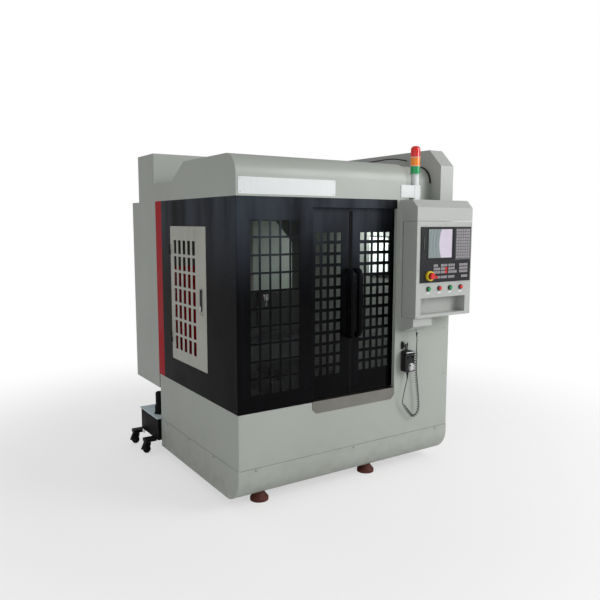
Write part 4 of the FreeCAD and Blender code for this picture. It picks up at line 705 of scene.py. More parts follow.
def clear_pane(name):
    """Clear sheet of the windows, a little dusty."""
    made, tree, shader = surface(name)
    haze = use(tree, run_marks, Amount=0.5)
    feed(tree, shader.inputs["Roughness"], spread(tree, haze, 0.0, 1.0, 0.02, 0.3))
    tint = mixed(tree, haze, solid(tone(222, 228, 226)), solid(tone(186, 190, 186)))
    feed(tree, shader.inputs["Base Color"], tint)
    shader.inputs["Transmission Weight"].default_value = 1.0
    shader.inputs["IOR"].default_value = 1.15
    return made


def screen_glass(name):
    """The lit screen: smooth glass whose glow carries pale round shapes as a painted
    reflection, with no signs on it.
    """
    made, tree, shader = surface(name)
    place = add(tree, "TexCoord").outputs["Object"]
    away = vectors(tree, "DISTANCE", place, at(*ARC_CENTRE)).outputs["Value"]
    share = spread(tree, away, ARC_RADIUS, ARC_RADIUS + ARC_BLUR, 1.0, 0.0)
    ripple = maths(tree, "SINE", maths(tree, "MULTIPLY", away, FULL_TURN / ARC_STEP))
    arcs = spread(tree, ripple, 0.2, 1.0, 0.0, 0.35)
    teal = mixed(tree, arcs, solid(tone(146, 158, 157)), solid(tone(88, 98, 104)))
    glow = mixed(tree, share, teal, solid(tone(226, 216, 232)))
    clouds = use(tree, cloudy_colour, Color=glow, Scale=16.0, Depth=0.05)
    shader.inputs["Base Color"].default_value = solid(tone(26, 28, 32))
    feed(tree, shader.inputs["Emission Color"], clouds)
    shader.inputs["Emission Strength"].default_value = 0.85
    varied(tree, shader, 0.08, 0.02, 30.0)
    shader.inputs["Coat Weight"].default_value = 0.5
    return made


FAMILIES = ((METALS, metal), (PLASTICS, moulded), (LENSES, lamp_lens),
            (SATIN_PAINTS, satin_paint))
SINGLES = {make.__name__: make for make in (
    door_paint, stripe_paint, side_door_paint, caster_paint, tank_paint, casting_paint,
    foot_primer, rubber, gap_shadow, sign_white, liner_shade_paint, lamp_glow, clear_pane,
    screen_glass)}


@kept
def material(name):
    """A material by its name, built the first time that it is asked for."""
    for family, make in FAMILIES:
        if name in family:
            rgb, *values = family[name]
            rgb = getattr(paints(), rgb) if isinstance(rgb, str) else rgb
            return make(name, rgb, *values)
    return SINGLES[name](name)


NODE_FINISH = {
    "foot_primer": ["levelling_feet"],
    "casing_paint": ["lower_skirt", "base_casing", "right_front_panel",
                     "right_side_panel", "inner_right_wall", "hood", "right_hood",
                     "rear_top_box", "rear_cabinet", "cabinet_door", "head_cover"],
    # A paler copy of the casing paint, as painted light on the console and right cover.
    "console_lit_paint": ["console_bracket", "console_box", "right_top_cover"],
    "bright_sheet": ["chip_pan", "sill_plate"],
    "door_paint": ["fixed_window_panel", "door_header", "left_side_panel",
                   "left_door_leaf", "right_door_leaf", "left_door_handle",
                   "right_door_handle"],
    "clear_pane": ["fixed_window_pane", "left_door_pane", "right_door_pane"],
    "stripe_paint": ["rear_partition"],
    "side_door_paint": ["side_door_leaf"],
    "black_trim": ["side_door_latch"],
    "panel_plastic": ["display_unit"],
    "key_plastic": ["console_keys"],
    "red_plastic": ["emergency_stop", "first_red_button", "second_red_button"],
    "green_plastic": ["first_green_button", "second_green_button"],
    "white_plastic": ["signal_tower_base"],
    "green_lens": ["green_lens"],
    "amber_lens": ["amber_lens"],
    "red_lens": ["red_lens"],
    "pendant_plastic": ["pendant_body", "axis_knob", "rate_knob"],
    "wheel_metal": ["pendant_handwheel"],
    "casting_paint": ["machine_bed", "machine_column", "saddle", "spindle_head"],
    "dull_steel": ["work_table"],
    "tool_steel": ["spindle"],
    "tank_paint": ["coolant_tank"],
    "caster_paint": ["coolant_pump", "front_caster_fork", "rear_caster_fork"],
    "rubber": ["front_caster_wheel", "rear_caster_wheel", "fixed_caster_wheels",
               "pendant_cord", "tower_cable"],
}


class MACHINE_OT_finishes(bpy.types.Operator):
    """The finish of every part that comes from the frame"""
    bl_idname = "machine.finishes"
    bl_label = "Finishes"

    def execute(self, context):
        finish_of = {node: name for name, nodes in NODE_FINISH.items() for node in nodes}
        for node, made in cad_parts.items():
            for held in made.material_slots:
                held.material = material(finish_of[node])
        return {"FINISHED"}


# --------------------------------------------------------------------------- cords

PENDANT_ROUTE = {
    "lead_in": [(1.250, -0.062, 0.937), (1.250, -0.062, 0.917), (1.257, -0.057, 0.893),
                (1.262, -0.052, 0.868)],
    "curled": [(1.265, -0.046, 0.815), (1.269, -0.038, 0.755), (1.274, -0.034, 0.695),
               (1.281, -0.032, 0.635), (1.290, -0.031, 0.575), (1.299, -0.031, 0.515),
               (1.307, -0.031, 0.455), (1.305, -0.031, 0.404), (1.282, -0.031, 0.375),
               (1.249, -0.031, 0.381), (1.210, -0.031, 0.425), (1.172, -0.031, 0.470)],
    "lead_out": [(1.167, -0.031, 0.484), (1.171, -0.031, 0.504), (1.180, -0.031, 0.548),
                 (1.193, -0.0305, 0.592), (1.207, -0.0295, 0.632), (1.207, -0.0295, 0.662)],
}
TOWER_ROUTE = [(1.477, 0.322, 2.052), (1.447, 0.322, 2.052), (1.392, 0.326, 2.058),
               (1.337, 0.331, 2.055), (1.282, 0.335, 2.046), (1.229, 0.339, 2.035),
               (1.189, 0.345, 2.028), (1.149, 0.345, 2.023), (1.141, 0.345, 2.011),
               (1.141, 0.345, 1.997)]
CURL_STEPS = 16


def cord_line(name, points, thickness):
    """A smooth cord on a row of control points."""
    curve = bpy.data.curves.new(name, "CURVE")
    curve.dimensions = "3D"
    spline = curve.splines.new("NURBS")
    spline.points.add(len(points) - 1)
    for held, place in zip(spline.points, points):
        held.co = (*place, 1)
    spline.order_u = 3
    spline.use_endpoint_u = True
    spline.resolution_u = 6
    curve.bevel_depth = thickness / 2
    curve.bevel_resolution = 4
    curve.use_fill_caps = True
    made = bpy.data.objects.new(name, curve)
    bpy.context.scene.collection.objects.link(made)
    return made


def points_along(points):
    """Points read from the smooth line that a row of control points gives."""
    guide = cord_line("guide", points, 0)
    bpy.context.view_layer.update()
    mesh = bpy.data.meshes.new_from_object(guide)
    read = [Vector(v.co) for v in mesh.vertices]
    curve = guide.data
    bpy.data.objects.remove(guide)
    bpy.data.curves.remove(curve)
    bpy.data.meshes.remove(mesh)
    return read


def evenly(points, count):
    """Points at even steps along a line of points."""
    runs = [(b - a).length for a, b in zip(points, points[1:])]
    step = sum(runs) / count
    placed, index, gone = [points[0]], 0, 0.0
    for number in range(1, count):
        target = number * step
        while gone + runs[index] < target:
            gone += runs[index]
            index += 1
        placed.append(points[index].lerp(points[index + 1], (target - gone) / runs[index]))
    return placed + [points[-1]]


def curls_round(points, curls, reach):
    """A helix of that many curls round a line, opening and closing at its ends."""
    steps = curls * CURL_STEPS
    line = evenly(points, steps)
    side = None
    placed = []
    for index, place in enumerate(line):
        along = line[min(index + 1, steps)] - line[max(index - 1, 0)]
        along.normalize()
        side = along.orthogonal() if side is None else side - side.dot(along) * along
        side.normalize()
        angle = FULL_TURN * index / CURL_STEPS
        width = reach * min(1.0, min(index, steps - index) / CURL_STEPS)
        placed.append(place + width * (math.cos(angle) * side
                                       + math.sin(angle) * along.cross(side)))
    return placed


def lay(name, points, thickness, node):
    """A rubber cord that stands for a node of the frame, which it hides."""
    cord = cord_line(name, points, thickness)
    cord.data.materials.append(material("rubber"))
    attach(cord, "machine")
    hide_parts(node)


class MACHINE_OT_cords(bpy.types.Operator):
    """The pendant's curly cord and the signal tower's cable"""
    bl_idname = "machine.cords"
    bl_label = "Cords"

    def execute(self, context):
        route = {part: [at(*p) for p in points] for part, points in PENDANT_ROUTE.items()}
        helix = curls_round(points_along(route["curled"]), sizes().curls, sizes().curl)
        lay("curly_cord", route["lead_in"] + helix + route["lead_out"], sizes().wire,
            "pendant_cord")
        lay("lamp_cable", [at(*p) for p in TOWER_ROUTE], sizes().cable,
            "tower_cable")
        return {"FINISHED"}


# --------------------------------------------------------------------------- stage

CAMERA_PLACE = (-2.303, -3.7375, 1.629)
CAMERA_TURN = (90 - 6.949, -0.09, -33.063)
LENS_LENGTH, SENSOR_WIDTH, FARTHEST = 38.11, 36, 100
FLOOR_SIZE = 30.0
SHADOW_REACH = 1.6
WORLD_LIGHT = 0.5
WORLD_GLOSS = 0.35
LAMP_AIM = (0, 0, 0.9)
CABIN_PLACE, CABIN_AIM = (1.02, 0.26, 1.68), (1.13, 0.44, 0.9)
CABIN_SIZE, CABIN_POWER = 0.14, 3.2
# Each lamp's place, its width in metres and its power in watts.
LAMPS = {
    "key_lamp": ((3.6, -5.0, 3.9), 3.0, 176.0),
    "sheen_lamp": ((3.9, -5.3, 2.4), 1.6, 30.0),
    "fill_lamp": ((-5.0, -3.6, 1.4), 3.6, 26.0),
    "back_lamp": ((0.0, 3.6, 4.6), 3.0, 8.0),
}


def seen_rays(tree):
    """1 for rays from the camera, straight or through a clear pane."""
    path = add(tree, "LightPath")
    return maths(tree, "MAXIMUM", path.outputs["Is Camera Ray"],
                 path.outputs["Is Transmission Ray"])


def floor_white():
    """A pale floor that keeps the object's shadow and goes to white further out."""
    made, tree, shader = surface("floor_white")
    place = stretched(tree)
    shade = spread(tree, noise(tree, place, 0.8), 0.3, 0.7, 0.88, 0.9)
    pale = add(tree, "CombineXYZ", X=shade, Y=shade, Z=shade).outputs[0]
    feed(tree, shader.inputs["Base Color"], pale)
    shader.inputs["Roughness"].default_value = 0.9
    away = vectors(tree, "LENGTH", place).outputs["Value"]
    white = spread(tree, away, SHADOW_REACH, SHADOW_REACH * 2.4, 0.55, 1.0)
    glow = add(tree, "Emission", Color=(1, 1, 1, 1), Strength=1.0)
    mix = add(tree, "MixShader", Fac=maths(tree, "MULTIPLY", seen_rays(tree), white))
    tree.links.new(shader.outputs[0], mix.inputs[1])
    tree.links.new(glow.outputs[0], mix.inputs[2])
    out = next(n for n in tree.nodes if n.type == "OUTPUT_MATERIAL")
    tree.links.new(mix.outputs[0], out.inputs["Surface"])
    return made


def studio_world():
    """Even white light, as bright as the picture's ground where the camera sees it."""
    world = bpy.data.worlds.new("studio")
    world.use_nodes = True
    tree = world.node_tree
    back = next(n for n in tree.nodes if n.type == "BACKGROUND")
    glossy = add(tree, "LightPath").outputs["Is Glossy Ray"]
    unseen = spread(tree, glossy, 0.0, 1.0, WORLD_LIGHT, WORLD_GLOSS)
    feed(tree, back.inputs["Strength"], maths(tree, "MAXIMUM", seen_rays(tree), unseen))
    back.inputs["Color"].default_value = (1, 1, 1, 1)
    return world


def lamp(name, place, aim, size, power):
    """A square soft lamp aimed at a point."""
    light = bpy.data.lights.new(name, "AREA")
    light.size = size
    light.energy = power
    made = bpy.data.objects.new(name, light)
    made.location = place
    made.rotation_euler = (Vector(aim) - Vector(place)).to_track_quat("-Z", "Y").to_euler()
    bpy.context.scene.collection.objects.link(made)
    return made


class MACHINE_OT_stage(bpy.types.Operator):
    """The camera, the floor, the white surroundings and the soft lamps"""
    bl_idname = "machine.stage"
    bl_label = "Stage"

    def execute(self, context):
        scene = context.scene
        lens = bpy.data.cameras.new("camera")
        lens.lens = LENS_LENGTH
        lens.sensor_width = SENSOR_WIDTH
        lens.clip_end = FARTHEST
        camera = bpy.data.objects.new("camera", lens)
        camera.location = CAMERA_PLACE
        camera.rotation_euler = [math.radians(angle) for angle in CAMERA_TURN]
        scene.collection.objects.link(camera)
        scene.camera = camera

        bm = bmesh.new()
        bmesh.ops.create_grid(bm, x_segments=1, y_segments=1, size=FLOOR_SIZE)
        mesh = bpy.data.meshes.new("floor")
        bm.to_mesh(mesh)
        bm.free()
        mesh.materials.append(floor_white())
        floor = bpy.data.objects.new("floor", mesh)
        scene.collection.objects.link(floor)

        for name, (place, size, power) in LAMPS.items():
            lamp(name, place, LAMP_AIM, size, power)
        cabin = lamp("cabin_lamp", at(*CABIN_PLACE), at(*CABIN_AIM), CABIN_SIZE, CABIN_POWER)
        cabin.visible_camera = cabin.visible_transmission = cabin.visible_glossy = False
        scene.world = studio_world()
        scene.view_settings.view_transform = "Standard"
        return {"FINISHED"}


# ------------------------------------------------------------------ casing and sign

BASE_SEAM, PILLAR_SEAM = 0.260, 0.580
LINE_RISE, LINE_INSET = 0.0005, 0.006
CASING_WIDTH, CASING_DEPTH = 1.600, 1.172
SKIRT_SCREW_Z = 0.247
FRONT_SCREWS = (0.109, 0.802, 1.495)
SIDE_SCREWS = (0.317, 0.685, 1.053)
PILLAR_LEFT, PANEL_BACK = 1.121, 1.080
PANEL_SCREW_YS, PANEL_SCREW_ZS = (0.125, 1.0), (0.64, 1.70)
PILLAR_SCREW_X, PILLAR_SCREW_ZS, PILLAR_SCREW_SHARE = 1.56, (0.62, 0.93), 0.8
EDGING_THICK, EDGING_LEFT, EDGING_RIGHT, EDGING_TAIL = 0.006, 1.476, 1.486, 0.12
HOOD_RADIUS, HOOD_CENTRE = 0.110, Vector((0, 0.203, 1.887))


def edging():
    """The rubber edging that follows the right hood's rounded end."""
    bm = bmesh.new()
    start = HOOD_CENTRE.y - HOOD_RADIUS
    ring = [bm.verts.new((x, start - rise, HOOD_CENTRE.z))
            for x, rise in ((EDGING_LEFT, 0), (EDGING_RIGHT, 0),
                            (EDGING_RIGHT, EDGING_THICK), (EDGING_LEFT, EDGING_THICK))]
    face = bm.faces.new(ring)
    bmesh.ops.spin(bm, geom=[face, *face.edges, *ring], cent=HOOD_CENTRE, axis=(1, 0, 0),
                   angle=-math.pi / 2, steps=14)
    top = [f for f in bm.faces
           if all(abs(v.co.y - HOOD_CENTRE.y) < SAME_PLACE for v in f.verts)]
    thicken(bm, top, (0, EDGING_TAIL, 0))
    piece("hood_edging", bm, "cable_rubber", "rubber")


class MACHINE_OT_casing_trim(bpy.types.Operator):
    """Seam lines, screws and the rubber edging of the casing"""
    bl_idname = "machine.casing_trim"
    bl_label = "Casing trim"

    def execute(self, context):
        half = sizes().seam / 2
        low, high = BASE_SEAM - half, BASE_SEAM + half
        end = CASING_WIDTH - LINE_INSET
        lines = [((LINE_INSET, -LINE_RISE, low), (end, LINE_RISE, high))]
        lines += [((x - LINE_RISE, LINE_INSET, low), (x + LINE_RISE, CASING_DEPTH, high))
                  for x in (0, CASING_WIDTH)]
        low, high = PILLAR_SEAM - half, PILLAR_SEAM + half
        lines += [((CASING_WIDTH - LINE_RISE, LINE_INSET, low),
                   (CASING_WIDTH + LINE_RISE, PANEL_BACK, high))]
        # The seam lines are painted shadow of the gaps between the casing's sheets.
        plates("seam_lines", lines, "casing_paint", "gap_shadow")
        plates("pillar_seam", [((PILLAR_LEFT, -LINE_RISE, low), (end, LINE_RISE, high))],
               "casing_paint")

        head = sizes().screw_radius, sizes().screw_rise
        rows = [((x, 0, SKIRT_SCREW_Z), FRONT, *head) for x in FRONT_SCREWS]
        rows += [((x, y, SKIRT_SCREW_Z), way, *head)
                 for x, way in ((0, LEFT), (CASING_WIDTH, RIGHT)) for y in SIDE_SCREWS]
        rows += [((CASING_WIDTH, y, z), RIGHT, *head) for y in PANEL_SCREW_YS
                 for z in PANEL_SCREW_ZS]
        rows += [((PILLAR_SCREW_X, 0, z), FRONT, head[0] * PILLAR_SCREW_SHARE, head[1])
                 for z in PILLAR_SCREW_ZS]
        screws("casing_screws", rows)
        edging()
        return {"FINISHED"}


SIGN_LEFT, SIGN_RIGHT, SIGN_LOW, SIGN_HIGH = 0.012, 0.643, 1.780, 1.870
SIGN_THICK, SIGN_RADIUS, SIGN_CORNER_STEPS, SIGN_EDGE = 0.0025, 0.005, 4, 0.0005
# The screws beside the plate and those on it: places across, heights, radius and rise.
HOOD_SCREWS = ((0.648,), (1.789, 1.867), (0.0035, 0.002))
SIGN_SCREWS = ((0.024, 0.631), (1.790, 1.860), (0.003, 0.0012))


class MACHINE_OT_sign_plate(bpy.types.Operator):
    """The bare white plate on the front of the hood"""
    bl_idname = "machine.sign_plate"
    bl_label = "Sign plate"

    def execute(self, context):
        left, right = SIGN_LEFT + SIGN_RADIUS, SIGN_RIGHT - SIGN_RADIUS
        low, high = SIGN_LOW + SIGN_RADIUS, SIGN_HIGH - SIGN_RADIUS
        bm = bmesh.new()
        outline = []
        for quarter, x, z in ((0, right, high), (1, left, high), (2, left, low),
                              (3, right, low)):
            for step in range(SIGN_CORNER_STEPS + 1):
                angle = (quarter + step / SIGN_CORNER_STEPS) * math.pi / 2
                outline.append(bm.verts.new((x + SIGN_RADIUS * math.cos(angle), 0,
                                             z + SIGN_RADIUS * math.sin(angle))))
        thicken(bm, [bm.faces.new(outline)], (0, -SIGN_THICK, 0))
        soften(bm, list(bm.verts), SIGN_EDGE)
        piece("sign_plate", bm, "white_plastic", "sign_white")
        screws("sign_screws", front_screws(0, *HOOD_SCREWS)
               + front_screws(-SIGN_THICK, *SIGN_SCREWS))
        return {"FINISHED"}


# ------------------------------------------------------------------ doors and panes

# Each pane, its rim, and the body that both ride on.
PANES = (("fixed_window_pane", "fixed_window_seal", "machine"),
         ("left_door_pane", "left_door_seal", "left_door"),
         ("right_door_pane", "right_door_seal", "right_door"))
RIM_GAP, RIM_BACK = 0.0002, 0.004
SEAL_WIDTH, SEAL_RISE, SEAL_FOOT, SEAL_HEAD, SEAL_EDGE = 0.011, 0.003, 0.002, 0.03, 0.0012
HANDLE_END, DOOR_STEPS = 0.015, 24
ROLLER_INSET, ROLLER_GAP, ROLLER_DROP = 0.04, 0.0005, 0.013
FLANGE = [(0.016, 0), (0.021, 0), (0.021, 0.003), (0.018, 0.005), (0.016, 0.005)]
ROLLER = [(0, 0), (0.011, 0), (0.012, 0.002), (0.010, 0.004), (0.012, 0.006),
          (0.011, 0.008), (0, 0.008)]


class MACHINE_OT_window_seals(bpy.types.Operator):
    """The thin rubber rims behind the window panes"""
    bl_idname = "machine.window_seals"
    bl_label = "Window seals"

    def execute(self, context):
        for pane, name, body in PANES:
            low, high = corners(pane)
            rim(name, (low.x, high.y + RIM_GAP, low.z), (high.x, high.y + RIM_BACK, high.z),
                "cable_rubber", "seal_rubber", body)
        return {"FINISHED"}


class MACHINE_OT_door_trim(bpy.types.Operator):
    """Meeting seals, handle flanges and top rollers of the sliding doors"""
    bl_idname = "machine.door_trim"
    bl_label = "Door trim"

    def execute(self, context):
        for side in ("left", "right"):
            body = side + "_door"
            low, high = corners(side + "_door_leaf")
            grip_low, grip_high = corners(side + "_door_handle")
            start = high.x - SEAL_WIDTH if side == "left" else low.x
            # The meeting seals are real rubber strips, and their near black also stands as
            # painted shade of the gap between the leaves.
            plates(side + "_meeting_seal",
                   [((start, low.y - SEAL_RISE, low.z + SEAL_FOOT),
                     (start + SEAL_WIDTH, low.y, high.z - SEAL_HEAD), SEAL_EDGE)],
                   "cable_rubber", "seal_rubber", body)
            middle = (grip_low.x + grip_high.x) / 2
            turnings(side + "_handle_flanges",
                     [(FLANGE, facing((middle, low.y, z), FRONT), DOOR_STEPS)
                      for z in (grip_low.z + HANDLE_END, grip_high.z - HANDLE_END)],
                     "black_paint", "door_paint", body)
            y, z = high.y + ROLLER_GAP, high.z - ROLLER_DROP
            turnings(side + "_door_rollers",
                     [(ROLLER, facing((x, y, z), BACK), DOOR_STEPS)
                      for x in (low.x + ROLLER_INSET, high.x - ROLLER_INSET)],
                     "zinc_plate", body=body)
        return {"FINISHED"}


# ---------------------------------------------------------------------- side door

HINGE_Y, HINGE_X = 0.9275, -0.0065
HINGE_BOTTOMS, HINGE_STEPS = (0.848, 1.424), 20
LATCH_Y = 0.449
LATCH_RIM = (-0.0042, LATCH_Y - 0.015, 1.080), (-0.003, LATCH_Y + 0.015, 1.240)
LATCH_GRIP = (-0.0118, LATCH_Y - 0.007, 1.106), (-0.0114, LATCH_Y + 0.007, 1.134), 0.0001
LATCH_SCREW_X, LATCH_SCREW_ZS, LATCH_SCREW = -0.0042, (1.086, 1.234), (0.003, 0.0015)
SLEEVE = [(0.0062, 0), (0.0085, 0), (0.0085, 0.060), (0.0062, 0.060)]
SLEEVE_CAP = [(0, 0.060), (0.0060, 0.060), (0.0085, 0.0605), (0.007, 0.063), (0, 0.064)]


class MACHINE_OT_side_door_trim(bpy.types.Operator):
    """Black hinge sleeves, the latch's rim and its grip plate"""
    bl_idname = "machine.side_door_trim"
    bl_label = "Side door trim"

    def execute(self, context):
        turnings("hinge_sleeves",
                 [(outline, Matrix.Translation((HINGE_X, HINGE_Y, z)), HINGE_STEPS)
                  for z in HINGE_BOTTOMS for outline in (SLEEVE, SLEEVE_CAP)],
                 "black_paint", "black_trim", "side_door")
        rim("latch_frame", *LATCH_RIM, "black_paint", "black_trim", "side_door")
        plates("latch_grip", [LATCH_GRIP], "white_plastic", "sign_white", "side_latch")
        screws("latch_screws", [((LATCH_SCREW_X, LATCH_Y, z), LEFT, *LATCH_SCREW)
                                for z in LATCH_SCREW_ZS], "side_door")
        return {"FINISHED"}


# ------------------------------------------------------------------------ console

CONSOLE_FACE, DISPLAY_FACE = -0.152, -0.158
BUTTON_XS, BUTTON_Z = (1.250, 1.344, 1.438, 1.532), 1.222
STOP_X, STOP_Z = 1.250, 1.303
STOP_RING = [(0.0300, 0.0004), (0.0306, 0.0004), (0.0306, 0.0155), (0.0296, 0.0166),
             (0.0215, 0.0166), (0.0215, 0.0160), (0.0300, 0.0160)]
COLLAR = [(0.0150, 0), (0.0156, 0), (0.0156, 0.0072), (0.0144, 0.0086), (0.0120, 0.0086),
          (0.0120, 0.0081), (0.0150, 0.0081)]
STOP_STEPS, COLLAR_STEPS = 40, 28
SCREEN_RIM = (1.232, DISPLAY_FACE - 0.0015, 1.402), (1.454, DISPLAY_FACE, 1.600)
# Plates on an upright face: two (x, z) corners, the rise and the edge.
SCREEN = (1.2425, 1.4125), (1.4435, 1.5895), 0.0012, 0.0004
CARD_COVER = (1.196, 1.461), (1.227, 1.547), 0.0016, 0.0006
CARD_STRIP = (1.2015, 1.467), (1.2045, 1.541), 0.0022, 0.0004
PANEL_LINE = (1.178, 1.3925), (1.612, 1.3945), 0.0006, 0
KEYPAD_PLATE = (1.474, 1.397), (1.608, 1.5925), 0.0008, 0.0003
LABEL_HALF, LABEL_LOW, LABEL_HIGH, LABEL_RISE, LABEL_EDGE = 0.014, 1.190, 1.199, 0.001, 0.0003
CONSOLE_SCREW = (0.0035, 0.0018)
# The console's screws: places across, heights and head.
CONSOLE_SCREWS = (((1.160, 1.384, 1.618), (1.052, 1.622), CONSOLE_SCREW),
                  ((1.163, 1.619), (1.335,), CONSOLE_SCREW))
KEY_WIDTH, KEY_RISE, KEY_EDGE = 0.0166, 0.002, 0.0008
KEYPAD_LEFT, KEYPAD_LOW, KEYPAD_COLUMNS, KEYPAD_ROWS = 1.4785, 1.4075, 6, 10
KEYPAD_ACROSS, KEYPAD_UP, KEYPAD_HIGH = 0.0208, 0.0186, 0.0146
KEY_GROUPS, KEY_STEP, KEY_HIGH = (1.2855, 1.3480, 1.4140, 1.5110), 0.0192, 0.0158
# The rows below the keypad: a row's height, and its groups of pale (k) and red (R) keys.
KEY_ROWS = ((1.284, ("kRk", "kkk", "kkk", " kkk")), (1.315, ("kkk", "kkR", "kkkk", "kkkk")),
            (1.336, ("kkk", "kkR", "kkk", "kkkk")), (1.357, ("kk", "kkk", "kkk", "kkkk")))


def proud(low, high, rise, edge, face=DISPLAY_FACE):
    """The row of a plate between two (x, z) corners that stands off an upright face."""
    return (low[0], face - rise, low[1]), (high[0], face, high[1]), edge


class MACHINE_OT_console_keys(bpy.types.Operator):
    """The keypad and the grouped rows of keys below it"""
    bl_idname = "machine.console_keys"
    bl_label = "Console keys"

    def execute(self, context):
        keys = {"k": [], "R": []}

        def key(mark, x, z, tall):
            """Note a key of one kind by its lower left corner and its height."""
            keys[mark].append(proud((x, z), (x + KEY_WIDTH, z + tall), KEY_RISE, KEY_EDGE))

        for column in range(KEYPAD_COLUMNS):
            for row in range(KEYPAD_ROWS):
                key("k", KEYPAD_LEFT + column * KEYPAD_ACROSS, KEYPAD_LOW + row * KEYPAD_UP,
                    KEYPAD_HIGH)
        for z, groups in KEY_ROWS:
            for left, marks in zip(KEY_GROUPS, groups):
                for place, mark in enumerate(marks):
                    if mark != " ":
                        key(mark, left + place * KEY_STEP, z, KEY_HIGH)
        pale = plates("soft_keys", keys["k"], "key_plastic", body="console")
        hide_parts("console_keys")
        plates("red_keys", keys["R"], "key_plastic", "red_plastic", "console")
        return {"FINISHED"}


class MACHINE_OT_console_trim(bpy.types.Operator):
    """Screen, its rim, collars, label plates and screws of the console"""
    bl_idname = "machine.console_trim"
    bl_label = "Console trim"

    def execute(self, context):
        plates("screen", [proud(*SCREEN, SCREEN_FACE)], "panel_plastic", "screen_glass",
               "console")
        rim("screen_frame", *SCREEN_RIM, "panel_plastic", "black_trim", "console")
        plates("card_cover", [proud(*CARD_COVER), proud(*PANEL_LINE)],
               "panel_plastic", "black_trim", "console")
        plates("keypad_plate", [proud(*CARD_STRIP), proud(*KEYPAD_PLATE)],
               "key_plastic", "keypad_grey", "console")
        stop = facing((STOP_X, DISPLAY_FACE, STOP_Z), FRONT)
        turnings("stop_ring", [(STOP_RING, stop, STOP_STEPS)], "key_plastic",
                 "yellow_plastic", "console")
        turnings("button_collars",
                 [(COLLAR, facing((x, CONSOLE_FACE, BUTTON_Z), FRONT), COLLAR_STEPS)
                  for x in BUTTON_XS], "panel_plastic", "black_trim", "console")
        plates("label_plates", [proud((x - LABEL_HALF, LABEL_LOW), (x + LABEL_HALF, LABEL_HIGH),
                                      LABEL_RISE, LABEL_EDGE, CONSOLE_FACE)
                                for x in BUTTON_XS], "white_plastic", "sign_white", "console")
        screws("console_screws", [row for group in CONSOLE_SCREWS
                                  for row in front_screws(CONSOLE_FACE, *group)], "console")
        return {"FINISHED"}


# ------------------------------------------------------------------------ pendant

PENDANT_FACE = -0.052
PENDANT_LABEL = (1.176, 0.806), (1.238, 0.811), 0.0006, 0, PENDANT_FACE
KNOBS = ((1.188, 0.780), (1.226, 0.780))
WHEEL_SPOT = (1.216, 0.714)
# Rings of marks: radius, a mark's size, their count, and the angles they start at and span.
KNOB_MARKS = (0.0115, (0.0012, 0.0006, 0.0025), 7, -2.1, 4.9)
WHEEL_MARKS = (0.0262, (0.0008, 0.0006, 0.0022), 40, 0.0, FULL_TURN)
RELIEF_BORE, RELIEF_RIBS, RIB_STEP = 0.0029, 5, 0.0045
RELIEFS = {"pendant_relief": (1.207, -0.0295, 0.6625), "gland_relief": (1.250, -0.062, 0.9375)}
HOOK_DROP = 0.012
# The hook's plates, about a point on the casing: low corner, high corner and edge.
HOOK = (((-0.034, -0.003, -0.020), (-0.014, 0, 0.030), 0.001),
        ((-0.030, -0.018, -0.004), (-0.020, -0.002, 0.022), 0.0015),
        ((-0.030, -0.018, -0.003), (0.010, -0.012, 0.003), 0.0015),
        ((0.0065, -0.0178, -0.0028), (0.0105, -0.0122, 0.020), 0.0012))


def ticks(bm, centre, radius, size, count, start, turn):
    """Small upright marks in a ring on the pendant's face."""
    for step in range(count):
        lean = Matrix.Rotation(start + turn * step / count, 4, "Y")
        middle = Vector((centre[0], PENDANT_FACE, centre[1]))
        block(bm, middle + lean @ Vector((0, 0, radius)), size, lean)


def relief(name, place):
    """A tapered, ribbed rubber sleeve where a cord leaves a housing."""
    outline = [(RELIEF_BORE, 0), (0.0070, 0)]
    for rib in range(RELIEF_RIBS):
        rise, radius = 0.0035 + RIB_STEP * rib, 0.0066 - 0.0006 * rib
        outline += [(radius, rise), (radius - 0.0010, rise + 0.0008),
                    (radius - 0.0010, rise + 0.0026), (radius - 0.0003, rise + 0.0034)]
    outline += [(0.0036, 0.028), (RELIEF_BORE, 0.030), (RELIEF_BORE, 0)]
    turnings(name, [(outline, facing(place, DOWN), 20)], "cord_rubber", "rubber")


def hook():
    """The bent hook on the casing that the pendant hangs from."""
    low, high = corners("pendant_body")
    plates("pendant_hook", shifted((low.x + high.x) / 2, 0, high.z - HOOK_DROP, HOOK),
           "black_paint", "black_trim")


class MACHINE_OT_pendant_trim(bpy.types.Operator):
    """Dial marks, label, hook and strain reliefs of the hand pendant"""
    bl_idname = "machine.pendant_trim"
    bl_label = "Pendant trim"

    def execute(self, context):
        bm = bmesh.new()
        for centre in KNOBS:
            ticks(bm, centre, *KNOB_MARKS)
        ticks(bm, WHEEL_SPOT, *WHEEL_MARKS)
        piece("dial_marks", bm, "white_plastic", "sign_white")
        plates("pendant_label", [proud(*PENDANT_LABEL)], "white_plastic", "sign_white")
        hook()
        for name, place in RELIEFS.items():
            relief(name, place)
        return {"FINISHED"}


# ------------------------------------------------------------------- signal tower

TOWER = (1.280, 0.020)
# A ring's outline outwards from what it sits on.
LENS_RING = [(0, 0), (0.0004, 0), (0.0007, 0.0006), (0.0007, 0.0024), (0.0004, 0.003),
             (0, 0.003)]
LENS_RING_DROP, TOWER_STEPS = 0.0015, 36
FOOT_RADIUS, FOOT_RING_ZS, FOOT_FACE = 0.0250, (1.870, 1.888), -0.005
FOOT_SCREWS = ((1.262, 1.298), (1.785, 1.847), (0.003, 0.0015))
FOOT_RING = [(0, 0), (0.0006, 0.0006), (0.0006, 0.0022), (0, 0.0028)]


